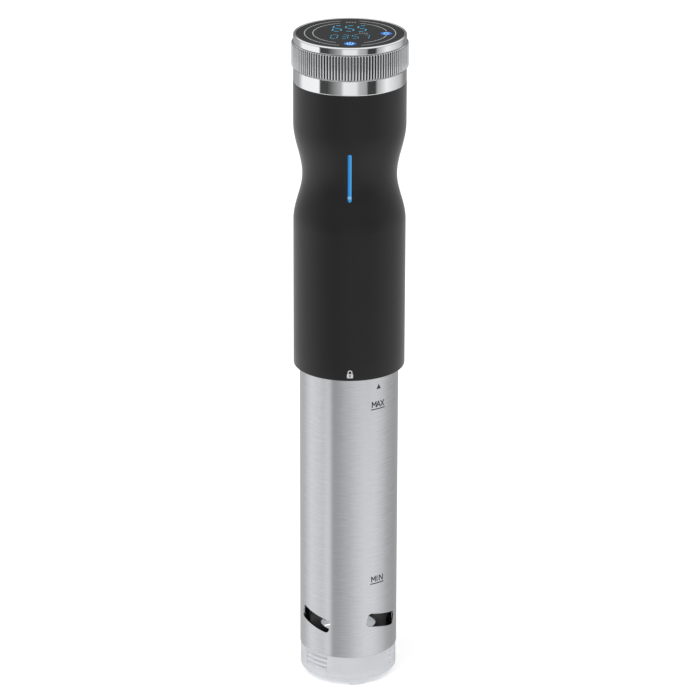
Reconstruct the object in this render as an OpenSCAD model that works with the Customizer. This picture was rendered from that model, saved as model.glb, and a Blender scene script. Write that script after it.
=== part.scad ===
// Immersion circulator: a handle with a motor and display, and a steel sleeve that holds
// the heater, the probes and the pump. Origin on the axis, at the plane of the feet.

/* [Sleeve] */
// Outer diameter of the steel sleeve
sleeve_d = 56; // [52:0.5:68]
// Wall of the steel sleeve
sleeve_wall = 0.8; // [0.6:0.1:1.2]
// Length of sleeve that shows between the base cap and the handle
sleeve_show = 172.5; // [140:0.5:220]
// Number of water slots round the sleeve
slot_count = 4; // [3:1:5]
// Height of the slot centres above the sleeve's lower edge
slot_rise = 20.6; // [18:0.1:30]
// Direction of the first water slot, in degrees from the front
slot_start = 45; // [30:1:60]
// Length of a water slot, measured straight across
slot_len = 21.7; // [12:0.1:24]
// Height of a water slot
slot_h = 8.1; // [4:0.1:10]
// Corner radius of a water slot
slot_corner = 2.5; // [0.5:0.1:3]
// Slant of a water slot, in degrees
slot_slant = -13; // [-20:1:20]
// Number of dimples that key the sleeve to the twist collar
dimple_count = 4; // [2:1:6]
// Direction of the first dimple, in degrees from the front
dimple_start = 46; // [30:1:60]
// Distance of the dimples below the handle
dimple_drop = 8.1; // [6:0.1:12]
// Radius of the ball that pressed a dimple
dimple_ball = 4; // [3:0.1:5]
// How far a dimple stands in from the sleeve
dimple_depth = 1; // [0.6:0.1:1.2]

/* [Base cap] */
// How far the base cap is set in from the sleeve, on each side
cap_inset = 0.3; // [0:0.1:1]
// Height of the base cap, from its underside to the sleeve
cap_h = 14.1; // [12:0.1:20]
// Wall of the base cap
cap_wall = 2; // [1.4:0.1:2.6]
// Length of the cap that is pushed into the sleeve
cap_plug = 6.9; // [4:0.1:7]
// Height of the feet
foot_h = 3.5; // [2:0.1:6]
// Width of a foot at its top
foot_w = 10.6; // [6:0.1:14]
// Direction of the first foot, in degrees from the front
foot_angle = 11; // [0:1:30]
// Direction of the first intake window, in degrees from the front
window_angle = -43; // [-60:1:-30]
// Width of an intake window, in degrees
window_sweep = 36; // [24:1:44]
// Height of an intake window
window_h = 8.9; // [6:0.1:9]
// Number of openings between the bars of a window
window_rows = 3; // [2:1:3]
// Radius of the middle foot that the cap rests on
boss_r = 7; // [4:0.5:10]

/* [Handle] */
// How far the handle stands out from the sleeve, on each side
handle_step = 3.5; // [3.5:0.1:5]
// Length of the handle, from its lower edge to the chrome ring
housing_len = 166.3; // [160:0.1:200]
// Wall of the handle
housing_wall = 2.4; // [2:0.1:3]
// Radius of the handle's lower edge
edge_round = 0.8; // [0.5:0.1:2.6]
// Height of the waist's narrowest point above the handle's lower edge
waist_rise = 112.6; // [105:0.1:125]
// Depth of the waist
waist_depth = 5; // [0:0.1:5.5]
// Length of the waist below its narrowest point
waist_below = 27; // [20:0.5:34]
// Length of the waist above its narrowest point
waist_above = 30; // [20:0.5:34]
// Length of the light bar
bar_len = 28.3; // [16:0.1:40]
// Width of the light bar
bar_w = 2.1; // [1.5:0.1:4]
// Height of the light bar's centre above the waist's narrowest point
bar_rise = 5.8; // [0:0.1:8]
// How far the light bar stands out of the handle
bar_proud = 0.15; // [0.05:0.05:0.5]

/* [Head] */
// How far the chrome neck ring and the bezel are set in from the handle, on each side
neck_inset = 0.1; // [0:0.1:0.5]
// Height of the chrome neck ring
neck_h = 8.2; // [5:0.1:12]
// How far the dial ring's ribs stand out from the handle, on each side
dial_step = 0.9; // [0.6:0.1:3]
// Height of the dial ring
dial_h = 13.8; // [10:0.1:20]
// Number of grip ribs on the dial ring
rib_count = 120; // [60:4:160]
// Height of a grip rib
rib_h = 0.7; // [0.4:0.1:0.8]
// Height of the bezel round the glass
bezel_h = 4.2; // [3:0.1:6]
// Width of the bezel's rim round the glass
bezel_rim = 1.7; // [1.2:0.1:2.4]
// Thickness of the chrome neck ring, from its outside to the display carrier
neck_t = 3.8; // [3.6:0.1:5]
// Thickness of the touch glass
glass_t = 1.7; // [1:0.1:2.2]

/* [Twist lock] */
// How far the sleeve reaches into the handle
lock_depth = 10; // [8:0.1:14]
// Thickness of the bulkhead's flange
flange_h = 6.5; // [6:0.1:9]
// Length of the spigot below the flange
spigot_len = 36; // [28:0.5:44]
// Thickness of the twist collar
collar_t = 4; // [3:0.1:4.4]
// Height of the lip that holds the twist collar on the spigot
lip_h = 3.9; // [2:0.1:5]

/* [Pump and heater] */
// Diameter of the drive shaft
shaft_d = 4; // [3:0.1:5]
// Outer diameter of the tube round the drive shaft
shaft_tube_d = 10; // [8.5:0.1:11]
// Diameter of the impeller
impeller_d = 32; // [24:0.5:33]
// Height of the impeller
impeller_h = 14; // [8:0.5:15]
// Number of impeller blades
blade_count = 6; // [4:1:9]
// Diameter of the intake opening under the impeller
intake_d = 32; // [24:0.5:34]
// Diameter of the heater's sheath
heater_d = 6.5; // [5:0.1:7]
// Distance of the heater's legs from the axis
heater_reach = 15; // [14:0.1:15.5]
// Diameter of the temperature probe
probe_d = 5; // [4:0.1:6]
// Diameter of a water level rod
rod_d = 3; // [2:0.1:4]

/* [Motor and boards] */
// Diameter of the motor's case
motor_d = 36; // [30:0.5:38]
// Length of the motor's case
motor_len = 39; // [30:0.5:44]
// Width of the power board
board_w = 40; // [34:0.5:41]
// Height of the power board
board_h = 60; // [60:0.5:64]

/* [Clip] */
// Width of the clip's lever
clip_w = 22; // [16:0.5:24]
// Diameter of the clip's hinge pin
pin_d = 4; // [3:0.1:5]
// Distance of the hinge pin behind the handle
pin_out = 9.5; // [8:0.1:12]
// Height of the hinge pin above the handle's lower edge
pin_rise = 44; // [38:0.5:52]
// Length of the lever below the hinge pin
jaw_len = 80; // [70:0.5:95]
// Length of the lever above the hinge pin
thumb_len = 48; // [36:0.5:56]
// Thickness of the lever
lever_t = 2.4; // [2:0.1:3.2]
// Height of the rubber pad
pad_h = 24; // [14:0.5:28]

/* [Cord inlet] */
// Diameter of the hole for the cord
cord_hole_d = 7.2; // [6:0.1:8]
// Distance of the cord inlet below the chrome ring
inlet_drop = 14.4; // [13:0.1:20]
// Length of the inlet's collar outside the handle
inlet_out = 9; // [4:0.5:14]

/* [Clearances] */
// Gap between fixed pieces that fit in each other
fit_gap = 0.1; // [0.05:0.05:0.2]
// Gap between pieces that slide or turn on each other
run_gap = 0.3; // [0.2:0.05:0.4]
// Gap between the drive shaft and its bearings
bush_gap = 0.05; // [0.02:0.01:0.1]
// Gap above and below the dial ring
dial_gap = 0.3; // [0.2:0.05:0.5]

/* [Hidden] */
$fn = 96;
eps = 0.5;
sleeve_r = sleeve_d / 2;
sleeve_in = sleeve_r - sleeve_wall;
cap_r = sleeve_r - cap_inset;
housing_r = sleeve_r + handle_step;
neck_r = housing_r - neck_inset;
dial_r = housing_r + dial_step;
carrier_r = neck_r - neck_t;
shaft_r = shaft_d / 2;
bush_r = shaft_r + bush_gap;
tube_r = shaft_tube_d / 2;
tube_wall = 1;
tube_in = tube_r - tube_wall;
heater_r = heater_d / 2;
pin_r = pin_d / 2;

// Heights, from the feet upwards
cap_z = foot_h;
sleeve_z = cap_z + cap_h;
slot_z = sleeve_z + slot_rise;
housing_z = sleeve_z + sleeve_show;
dimple_z = housing_z - dimple_drop;
flange_z = housing_z + lock_depth;
ledge_z = flange_z + flange_h;
sleeve_top = flange_z - 1;
spigot_z = flange_z - spigot_len;
floor_t = 4;
collar_z = spigot_z + lip_h + run_gap;
collar_top = flange_z - run_gap;
housing_top = housing_z + housing_len;
waist_z = housing_z + waist_rise;
bar_z = waist_z + bar_rise;
neck_top = housing_top + neck_h;
glide_t = 0.4;
dial_z = neck_top + glide_t + run_gap / 2;
dial_top = dial_z + dial_h;
bezel_z = dial_top + dial_gap;
bezel_top = bezel_z + bezel_h;
glass_drop = 0.2;
glass_z = bezel_top - glass_drop - glass_t;
inlet_z = housing_top - inlet_drop;

// Handle
housing_in = housing_r - housing_wall;
mouth_r = sleeve_r + 0.5;
flange_r = mouth_r - fit_gap;
ledge_r = mouth_r - 2;
ledge_t = 3;
boss_count = 3;
lug_reach = mouth_r - 3.6;
lug_r = housing_in - lug_reach + 0.2;
lug_h = 8.4;
screw_r = 1.4;
screw_gap = 0.1;
seal_r = 0.75;
groove_z = ledge_z - 2.6;
head_r = 2 * screw_r;
head_t = 1.6;
bar_depth = housing_wall + 0.2;
waist_steps = 14;

// Twist collar and spigot: all that hangs in the sleeve clears the dimples
dimple_in = sleeve_in - dimple_depth;
hang_r = dimple_in - 2 * run_gap;
collar_r = sleeve_in - run_gap;
collar_in = collar_r - collar_t;
spigot_r = collar_in - run_gap;
groove_r = dimple_in - 2 * run_gap;
groove_w = 2 * dimple_ball - 2;
spigot_in = spigot_r - 2.4;

// Pump
cage_z = sleeve_z + cap_plug + 2;
cage_t = 2;
cage_h = slot_rise + 3.9;
cage_top = cage_z + cage_h;
hub_h = 9;
hub_r = tube_r + 2.4;
post_r = 1.6;
impeller_z = cage_z + cage_t + 2;
impeller_top = impeller_z + impeller_h;
shaft_z = impeller_z - 1;
blade_t = 1.2;
impeller_hub_r = shaft_r + 3;
tube_z = cage_top - cage_t;
tube_top = spigot_z + floor_t + 4;
bend_draw = 0.03;
heater_low = cage_top + hub_h + 4;
heater_high = spigot_z - 12;
probe_low = heater_low + 18;
terminal_z = spigot_z + floor_t + 8;

// Motor and boards
mount_z = ledge_z + lug_h + 1;
mount_t = 2.5;
mount_r = spigot_r + 2;
motor_z = mount_z + mount_t;
motor_top = motor_z + motor_len;
motor_r = motor_d / 2;
can_t = 1.2;
rotor_r = motor_r * 0.55;
frame_z = motor_top;
frame_t = 3;
board_z = frame_z + frame_t;
board_t = 1.6;
rail_t = 2;
light_y = housing_r - waist_depth - housing_wall - 1.3;
light_t = 1.2;

// Head
shoulder_r = carrier_r + fit_gap;
glide_r = shoulder_r + 0.5;
dial_in = glide_r + run_gap;
rib_base = dial_r - rib_h;
plug_r = housing_in - fit_gap;
plug_h = 4;
rim_t = 3;
carrier_t = 2;
carrier_in = carrier_r - carrier_t;
glass_r = neck_r - bezel_rim;
neck_seal_r = 0.35;
display_z = glass_z - 7;
display_t = 1.6;
magnet_count = 12;
magnet_r = 1.2;
magnet_h = 3;
magnet_reach = (dial_in + rib_base) / 2;
touch_reach = 21.5;
touch_r = 2.8;

// Clip
bracket_t = 3;
pin_y = housing_r + pin_out;
pin_z = housing_z + pin_rise;
ear_t = 3;
ear_r = pin_r + 2.6;
ear_drop = 8;
knuckle_r = pin_r + 2;
knuckle_t = 2.5;
knuckle_x = clip_w / 2 - ear_t - run_gap;
plate_y = housing_r + bracket_t;
plate_low = pin_z - 22;
plate_high = pin_z + 20;
jaw_y = housing_r + 4.8;
screw_heights = [plate_low + 5, plate_high - 4];
pad_gap = 0.4;
pad_top = housing_z - 8;
coil_r = pin_r + 1.3;
wire_r = 0.5;
coil_turns = 3.5;
coil_pitch = 1.3;
spring_room = coil_r + wire_r + 0.4;

// Probes
probe_x = 16.5;
rod_x = 11;
rod_y = 3.2;
rod_step = 20;

// Cord inlet
gland_r = cord_hole_d / 2 + 2.4;
collar_flange_r = gland_r + 2;

// ---- Shared shapes ----

// A plain ring about the axis, from height low to height high
module ring(outer, inner, low, high) {
    translate([0, 0, low]) difference() {
        cylinder(r = outer, h = high - low);
        translate([0, 0, -eps]) cylinder(r = inner, h = high - low + 2 * eps);
    }
}

// A plain disc about the axis
module disc(radius, low, high) {
    translate([0, 0, low]) cylinder(r = radius, h = high - low);
}

// Puts a flat outline upright, facing outwards at an angle from the front
module facing(angle) {
    rotate([0, 0, angle]) rotate([90, 0, 0]) children();
}

// A cylinder along +Y, from depth low to depth high
module back_rod(radius, height, low, high, x = 0) {
    translate([x, low, height]) rotate([-90, 0, 0]) cylinder(r = radius, h = high - low);
}

// A rectangle with round corners, about its centre
module rounded(w, h, r) {
    square([w, h - 2 * r], center = true);
    square([w - 2 * r, h], center = true);
    for (x = [-1, 1], y = [-1, 1])
        translate([x * (w / 2 - r), y * (h / 2 - r)]) circle(r = r);
}

// An upright bar shape with round ends
module stadium(w, h) {
    square([w, h - w], center = true);
    for (y = [-1, 1]) translate([0, y * (h - w) / 2]) circle(r = w / 2);
}

// An O-ring
module o_ring(radius, section, height) {
    translate([0, 0, height]) rotate_extrude() translate([radius, 0]) circle(r = section, $fn = 32);
}

// Copies round the axis
module around(count, start = 0) {
    for (i = [0 : count - 1]) rotate([0, 0, start + i * 360 / count]) children();
}

// ---- Handle ----

// Handle radius at a height: a full cosine dip at the waist
function waist_half(z) = z < waist_z ? waist_below : waist_above;
function waist_share(z) = min(1, abs(z - waist_z) / waist_half(z));
function handle_r(z) = housing_r - waist_depth * (1 + cos(180 * waist_share(z))) / 2;
function waist_line(inset) = [
    for (i = [-waist_steps : waist_steps])
        let (z = waist_z + i / waist_steps * (i < 0 ? waist_below : waist_above))
            [handle_r(z) - inset, z]];
function backwards(list) = [for (i = [len(list) - 1 : -1 : 0]) list[i]];
function edge_arc() = [
    for (a = [0 : 15 : 90])
        [housing_r - edge_round * (1 - sin(a)), housing_z + edge_round * (1 - cos(a))]];

module handle_housing() {
    color([0.09, 0.09, 0.1]) difference() {
        union() {
            rotate_extrude() polygon(concat(
                [[mouth_r, housing_z]], edge_arc(), waist_line(0),
                [[housing_r, housing_top], [housing_in, housing_top]],
                backwards(waist_line(housing_wall)),
                [[housing_in, ledge_z + ledge_t], [ledge_r, ledge_z + ledge_t],
                 [ledge_r, ledge_z], [mouth_r, ledge_z]]));
            around(boss_count, 60) translate([lug_reach, 0, ledge_z]) cylinder(r = lug_r, h = lug_h);
        }
        around(boss_count, 60) translate([lug_reach, 0, ledge_z - eps])
            cylinder(r = screw_r + screw_gap, h = lug_h);
        translate([0, 0, bar_z]) facing(0) linear_extrude(housing_r + eps)
            stadium(bar_w + fit_gap, bar_len + fit_gap);
        back_rod(gland_r + fit_gap, inlet_z, housing_r - 12, housing_r + eps);
        for (z = screw_heights) back_rod(screw_r + screw_gap, z, housing_r - 12, housing_r + eps);
    }
}

module light_bar() {
    color([0.19, 0.63, 0.84]) intersection() {
        rotate_extrude() polygon(concat(waist_line(-bar_proud), backwards(waist_line(bar_depth))));
        translate([0, 0, bar_z]) facing(0) linear_extrude(housing_r + eps) stadium(bar_w, bar_len);
    }
}

module light_board() {
    led = [2, 0.7, 2];
    color([0.1, 0.35, 0.2]) union() {
        translate([-4, -light_y, bar_z - bar_len / 2]) cube([8, light_t, bar_len]);
        for (i = [-2 : 2])
            translate([-led[0] / 2, -light_y - led[1], bar_z + i * 5 - led[2] / 2])
                cube([led[0], led[1] + light_t / 2, led[2]]);
    }
}

// ---- Head ----

module neck_ring() {
    round_in = 0.6;
    color([0.8, 0.81, 0.83]) rotate_extrude() difference() {
        polygon([[shoulder_r, housing_top - plug_h], [plug_r, housing_top - plug_h],
            [plug_r, housing_top], [neck_r - round_in, housing_top],
            [neck_r, housing_top + round_in], [neck_r, neck_top - round_in],
            [neck_r - round_in, neck_top], [shoulder_r, neck_top]]);
        translate([plug_r - 2 * neck_seal_r - fit_gap / 2, housing_top - plug_h / 2 - 2 * neck_seal_r])
            square([plug_r, 4 * neck_seal_r]);
    }
}

module neck_seal() {
    color([0.15, 0.15, 0.15]) o_ring(plug_r - neck_seal_r, neck_seal_r, housing_top - plug_h / 2);
}

module glide_ring() {
    color([0.9, 0.9, 0.88]) union() {
        ring(glide_r, shoulder_r, neck_top, dial_top);
        ring(neck_r - 0.8, shoulder_r, neck_top, neck_top + glide_t);
    }
}

module display_carrier() {
    color([0.12, 0.12, 0.13]) rotate_extrude() polygon([
        [carrier_in, housing_top - plug_h - rim_t], [plug_r, housing_top - plug_h - rim_t],
        [plug_r, housing_top - plug_h], [carrier_r, housing_top - plug_h],
        [carrier_r, glass_z], [carrier_in, glass_z], [carrier_in, display_z],
        [carrier_in - 2, display_z], [carrier_in - 2, display_z - 2],
        [carrier_in, display_z - 2]]);
}

module display_board() {
    color([0.1, 0.35, 0.2]) disc(carrier_in - fit_gap, display_z, display_z + display_t);
}

module digit_display() {
    module_size = [26, 14, glass_z - display_z - display_t - 0.2];
    digit = [5, 9, 0.1];
    color([0.2, 0.2, 0.22]) union() {
        translate([-module_size[0] / 2, -module_size[1] / 2, display_z + display_t]) cube(module_size);
        for (i = [-1 : 1])
            translate([i * 7 - digit[0] / 2, -digit[1] / 2, display_z + display_t + module_size[2] - 0.05])
                cube(digit);
    }
}

// One pad under each lit key: at the front and at the right
module touch_pads() {
    color([0.3, 0.3, 0.32]) for (a = [0, 90]) rotate([0, 0, a])
        translate([0, -touch_reach, display_z + display_t])
            cylinder(r = touch_r, h = glass_z - display_z - display_t);
}

module bezel_ring() {
    lip = 0.9;
    color([0.85, 0.86, 0.88]) rotate_extrude() polygon(concat(
        [[shoulder_r, bezel_z], [neck_r, bezel_z]],
        [for (a = [0 : 15 : 90])
            [neck_r - lip * (1 - cos(a)), bezel_top - lip * (1 - sin(a))]],
        [[glass_r + fit_gap, bezel_top], [glass_r + fit_gap, glass_z], [shoulder_r, glass_z]]));
}

module touch_glass() {
    color([0.05, 0.05, 0.06]) disc(glass_r, glass_z, glass_z + glass_t);
}

// The dial ring turns on the glide ring; square ribs stand on a plain band
module dial_ring() {
    pitch = 360 / rib_count;
    rib_edge = 0.8;
    color([0.75, 0.76, 0.78]) difference() {
        union() {
            translate([0, 0, dial_z]) cylinder(r = rib_base, h = dial_h);
            translate([0, 0, dial_z + rib_edge]) linear_extrude(dial_h - 2 * rib_edge)
                polygon([for (i = [0 : rib_count - 1], k = [[-0.3, 0], [-0.2, 1], [0.2, 1], [0.3, 0]])
                    let (a = (i + k[0]) * pitch, r = rib_base - 0.3 + k[1] * (rib_h + 0.3))
                        [r * sin(a), -r * cos(a)]]);
        }
        translate([0, 0, dial_z - eps]) cylinder(r = dial_in, h = dial_h + 2 * eps);
        around(magnet_count) translate([magnet_reach, 0, dial_z - eps])
            cylinder(r = magnet_r + fit_gap, h = magnet_h + eps);
    }
}

module dial_magnets() {
    color([0.55, 0.56, 0.58]) around(magnet_count)
        translate([magnet_reach, 0, dial_z]) cylinder(r = magnet_r, h = magnet_h);
}

// ---- Cord inlet ----

module cord_gland() {
    color([0.07, 0.07, 0.08]) difference() {
        union() {
            back_rod(gland_r, inlet_z, housing_r - 9.5, housing_r + inlet_out);
            difference() {
                back_rod(collar_flange_r, inlet_z, housing_r - 2, housing_r + 2);
                cylinder(r = housing_r + fit_gap / 2, h = bezel_top);
            }
        }
        back_rod(cord_hole_d / 2, inlet_z, 0, housing_r + inlet_out + eps);
    }
}

module gland_nut() {
    nut_t = 4;
    nut_r = gland_r + 2.5;
    nut_y = sqrt(pow(housing_in, 2) - pow(nut_r, 2)) - fit_gap;
    color([0.6, 0.6, 0.6]) difference() {
        translate([0, nut_y - nut_t, inlet_z]) rotate([-90, 0, 0])
            cylinder(r = nut_r, h = nut_t, $fn = 6);
        back_rod(gland_r + fit_gap, inlet_z, 0, housing_r);
    }
}

// ---- Bulkhead between the wet sleeve and the dry handle ----

module bulkhead() {
    groove = 2 * seal_r + fit_gap;
    color([0.14, 0.14, 0.15]) difference() {
        union() {
            disc(flange_r, flange_z, ledge_z);
            disc(spigot_r, spigot_z, flange_z + eps);
            disc(hang_r, spigot_z, spigot_z + lip_h);
        }
        disc(spigot_in, spigot_z + floor_t, ledge_z + eps);
        ring(flange_r + eps, flange_r - groove, groove_z, groove_z + groove);
        around(boss_count, 60) translate([lug_reach, 0, flange_z - eps]) {
            cylinder(r = screw_r + screw_gap, h = flange_h + 2 * eps);
            cylinder(r = head_r + screw_gap, h = head_t + 0.4 + eps);
        }
        translate([0, 0, spigot_z - eps]) {
            cylinder(r = tube_r + fit_gap / 2, h = floor_t + 2 * eps);
            for (a = [-45, 45]) rotate([0, 0, a]) translate([heater_reach, 0, 0])
                cylinder(r = heater_r + fit_gap / 2, h = floor_t + 2 * eps);
            translate([probe_x, 0, 0]) cylinder(r = probe_d / 2 + fit_gap / 2, h = floor_t + 2 * eps);
            for (y = [-1, 1]) translate([rod_x, y * rod_y, 0])
                cylinder(r = rod_d / 2 + fit_gap / 2, h = floor_t + 2 * eps);
        }
    }
}

module bulkhead_seal() {
    color([0.15, 0.15, 0.15]) o_ring(flange_r - seal_r, seal_r, groove_z + seal_r + fit_gap / 2);
}

module bulkhead_screws() {
    color([0.7, 0.7, 0.72]) around(boss_count, 60) translate([lug_reach, 0, flange_z + 0.4]) {
        cylinder(r = head_r, h = head_t);
        cylinder(r = screw_r, h = flange_h + 5);
    }
}

module shaft_seal() {
    color([0.35, 0.12, 0.1]) ring(tube_in - fit_gap / 2, bush_r, tube_top - 5, tube_top - 1);
}

// ---- Motor ----

module motor_mount() {
    color([0.2, 0.2, 0.22]) difference() {
        union() {
            disc(mount_r, mount_z, mount_z + mount_t);
            around(boss_count) translate([spigot_r - 0.2, 0, ledge_z])
                cylinder(r = 2, h = mount_z - ledge_z + eps);
        }
        disc(shaft_r + 2, mount_z - eps, mount_z + mount_t + eps);
        around(boss_count, 60) translate([lug_reach, 0, mount_z - eps])
            cylinder(r = lug_r + 0.5, h = mount_t + 2 * eps);
    }
}

module motor_case() {
    color([0.7, 0.71, 0.73]) difference() {
        disc(motor_r, motor_z, motor_top);
        disc(motor_r - can_t, motor_z + can_t, motor_top - can_t);
        disc(bush_r, motor_z - eps, motor_top + eps);
    }
}

module motor_stator() {
    color([0.72, 0.42, 0.2]) difference() {
        disc(motor_r - can_t - fit_gap, motor_z + 6, motor_top - 6);
        disc(rotor_r + 0.5, motor_z, motor_top);
        around(6) translate([rotor_r + 2.6, 0, motor_z]) cylinder(r = 1.1, h = motor_len);
    }
}

module motor_rotor() {
    color([0.5, 0.5, 0.53]) ring(rotor_r, shaft_r, motor_z + 7, motor_top - 7);
}

module drive_shaft() {
    color([0.8, 0.8, 0.82]) disc(shaft_r, shaft_z, motor_top + 2);
}

// ---- Boards ----

module board_frame() {
    color([0.25, 0.25, 0.27]) union() {
        ring(motor_r, shaft_r + 2, frame_z, frame_z + frame_t);
        for (x = [-1, 1]) translate([x * (board_w + rail_t) / 2, 0, frame_z])
            translate([-rail_t / 2, -5, 0]) cube([rail_t, 10, frame_t + board_h]);
        for (x = [-1, 1]) translate([x * (motor_r - 1) - 3, -5, frame_z]) cube([6, 10, frame_t]);
        translate([-4.5, -light_y + light_t, frame_z])
            cube([9, 2, bar_z + bar_len / 2 + 2 - frame_z]);
        translate([-4.5, -light_y + light_t, frame_z]) cube([9, light_y - motor_r, frame_t]);
    }
}

module power_board() {
    color([0.1, 0.4, 0.2]) translate([-board_w / 2, -board_t / 2, board_z])
        cube([board_w, board_t, board_h]);
}

module board_transformer() {
    color([0.75, 0.65, 0.3]) translate([-16, board_t / 2, board_z + 4]) cube([18, 12, 18]);
}

module board_relay() {
    color([0.15, 0.3, 0.6]) translate([5, board_t / 2, board_z + 4]) cube([12, 10, 19]);
}

module board_capacitor() {
    color([0.15, 0.15, 0.3]) translate([-8, board_t / 2 + 5.55, board_z + 27]) cylinder(r = 5.5, h = 21);
}

module heat_sink() {
    fins = 4;
    color([0.7, 0.7, 0.72]) translate([4, board_t / 2, board_z + 27]) difference() {
        cube([14, 9, 24]);
        for (i = [0 : fins - 2]) translate([2 + i * 3.6, 3, -eps]) cube([2.2, 7, 24 + 2 * eps]);
    }
}

module ribbon_cable() {
    color([0.6, 0.6, 0.62]) translate([-6, board_t / 2, board_z + 51])
        cube([12, 0.6, display_z - board_z - 51]);
}

// ---- Heater and probes ----

// Half a turn of sheath in an upright plane, bulging up or down; bending draws the sheath thinner
module sheath_bend(reach, up) {
    rotate([up ? 90 : -90, 0, 0]) rotate_extrude(angle = 180) translate([reach, 0])
        circle(r = heater_r - bend_draw, $fn = 48);
}

module heater_tube() {
    bend_r = heater_reach * sin(45);
    leg_low = heater_low + bend_r;
    leg_high = heater_high - bend_r;
    color([0.66, 0.67, 0.69]) union() {
        for (x = [-1, 1], y = [-1, 1]) translate([x * bend_r, y * bend_r, leg_low - bend_draw])
            cylinder(r = heater_r, h = (x > 0 ? terminal_z : leg_high) - leg_low + 2 * bend_draw);
        for (y = [-1, 1]) translate([0, y * bend_r, leg_low]) sheath_bend(bend_r, false);
        translate([-bend_r, 0, leg_high]) rotate([0, 0, 90]) sheath_bend(bend_r, true);
    }
}

module thermal_fuse() {
    fuse_size = [3, 4.8, 12];
    leg = heater_reach * sin(45);
    color([0.85, 0.85, 0.8])
        translate([leg - heater_r - fit_gap / 2 - fuse_size[0], -leg - fuse_size[1] / 2,
            spigot_z + floor_t]) cube(fuse_size);
}

module temperature_probe() {
    color([0.8, 0.8, 0.82]) translate([probe_x, 0, probe_low]) union() {
        cylinder(r = probe_d / 2, h = terminal_z - probe_low);
        sphere(r = probe_d / 2);
    }
}

module level_rods() {
    color([0.85, 0.85, 0.87]) for (y = [-1, 1])
        let (low = probe_low + (y > 0 ? rod_step : 0))
            translate([rod_x, y * rod_y, low]) cylinder(r = rod_d / 2, h = terminal_z - low);
}

// ---- Pump ----

module shaft_tube() {
    color([0.7, 0.71, 0.73]) ring(tube_r, tube_in, tube_z, tube_top);
}

module shaft_bearings() {
    color([0.75, 0.6, 0.3]) {
        ring(tube_in - fit_gap / 2, bush_r, tube_z, tube_z + 8);
        ring(tube_in - fit_gap / 2, bush_r, tube_top - 14, tube_top - 6);
    }
}

module pump_cage() {
    color([0.1, 0.1, 0.11]) difference() {
        union() {
            disc(hang_r, cage_top - cage_t, cage_top);
            disc(hub_r, cage_top - eps, cage_top + hub_h);
            ring(hang_r, intake_d / 2, cage_z, cage_z + cage_t);
            around(slot_count, slot_start + 180 / slot_count)
                translate([0, post_r + 0.4 - hang_r, cage_z]) cylinder(r = post_r, h = cage_h);
        }
        disc(tube_r + fit_gap / 2, cage_top - cage_t - eps, cage_top + hub_h + eps);
    }
}

module impeller() {
    plate_t = 1.4;
    color([0.16, 0.16, 0.17]) difference() {
        union() {
            disc(impeller_d / 2, impeller_top - plate_t, impeller_top);
            disc(impeller_hub_r, impeller_z, impeller_top);
            around(blade_count) translate([impeller_hub_r - 1, 0, impeller_z]) rotate([0, 0, 18])
                translate([0, -blade_t / 2, 0])
                    cube([impeller_d / 2 - impeller_hub_r - 0.4, blade_t, impeller_h - plate_t / 2]);
        }
        disc(shaft_r, impeller_z - eps, impeller_top + eps);
    }
}

// ---- Sleeve ----

module twist_collar() {
    color([0.3, 0.3, 0.32]) difference() {
        ring(collar_r, collar_in, collar_z, collar_top);
        around(dimple_count, dimple_start - 90) translate([groove_r, -groove_w / 2, collar_z - eps])
            cube([collar_r, groove_w, dimple_z - collar_z + dimple_ball + eps]);
    }
}

module sleeve_tube() {
    ball_reach = sleeve_r + dimple_ball - dimple_depth;
    color([0.75, 0.76, 0.78]) difference() {
        union() {
            ring(sleeve_r, sleeve_in, sleeve_z, sleeve_top);
            intersection() {
                disc(sleeve_r - 0.1, dimple_z - 10, dimple_z + 10);
                around(dimple_count, dimple_start) translate([0, -ball_reach, dimple_z])
                    sphere(r = dimple_ball + sleeve_wall);
            }
        }
        around(dimple_count, dimple_start) translate([0, -ball_reach, dimple_z]) sphere(r = dimple_ball);
        around(slot_count, slot_start) translate([0, 0, slot_z]) facing(0) linear_extrude(sleeve_r + eps)
            rotate(slot_slant) rounded(slot_len, slot_h, slot_corner);
    }
}

// ---- Base cap ----

module base_cap() {
    plug_out = sleeve_in - run_gap;
    window_z = cap_z + cap_h - window_h - 1.1;
    bar_t = 1;
    gap_h = (window_h - (window_rows - 1) * bar_t - 1.2) / window_rows;
    color([0.86, 0.87, 0.88]) difference() {
        union() {
            disc(cap_r, cap_z, cap_z + cap_h);
            ring(plug_out, plug_out - cap_wall, cap_z + cap_h - eps, cap_z + cap_h + cap_plug);
            disc(boss_r, 0, cap_z + eps);
        }
        disc(plug_out - cap_wall, cap_z + 2.5, cap_z + cap_h + eps);
        for (i = [0 : 2]) rotate([0, 0, window_angle + i * 120]) {
            window_cut(cap_r - 0.5, window_z, window_h, window_sweep);
            for (k = [0 : window_rows - 1])
                window_cut(cap_r - 8, window_z + 0.6 + k * (gap_h + bar_t), gap_h, window_sweep - 3);
        }
    }
}

// A block of space outside a radius, as wide as an angle at the front
module window_cut(depth_r, low, height, sweep) {
    rotate([0, 0, -90 - sweep / 2]) translate([0, 0, low]) rotate_extrude(angle = sweep)
        translate([depth_r, 0]) square([cap_r + eps - depth_r, height]);
}

module cap_feet() {
    taper = 0.8;
    foot_out = cap_r - 0.5;
    foot_in = cap_r - 3.4;
    color([0.84, 0.85, 0.86]) for (i = [0 : 2]) rotate([0, 0, foot_angle + i * 120]) intersection() {
        ring(foot_out, foot_in, 0, cap_z);
        facing(0) linear_extrude(cap_r) polygon([[-foot_w / 2 + taper, 0], [foot_w / 2 - taper, 0],
            [foot_w / 2, cap_z], [-foot_w / 2, cap_z]]);
    }
}

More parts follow.
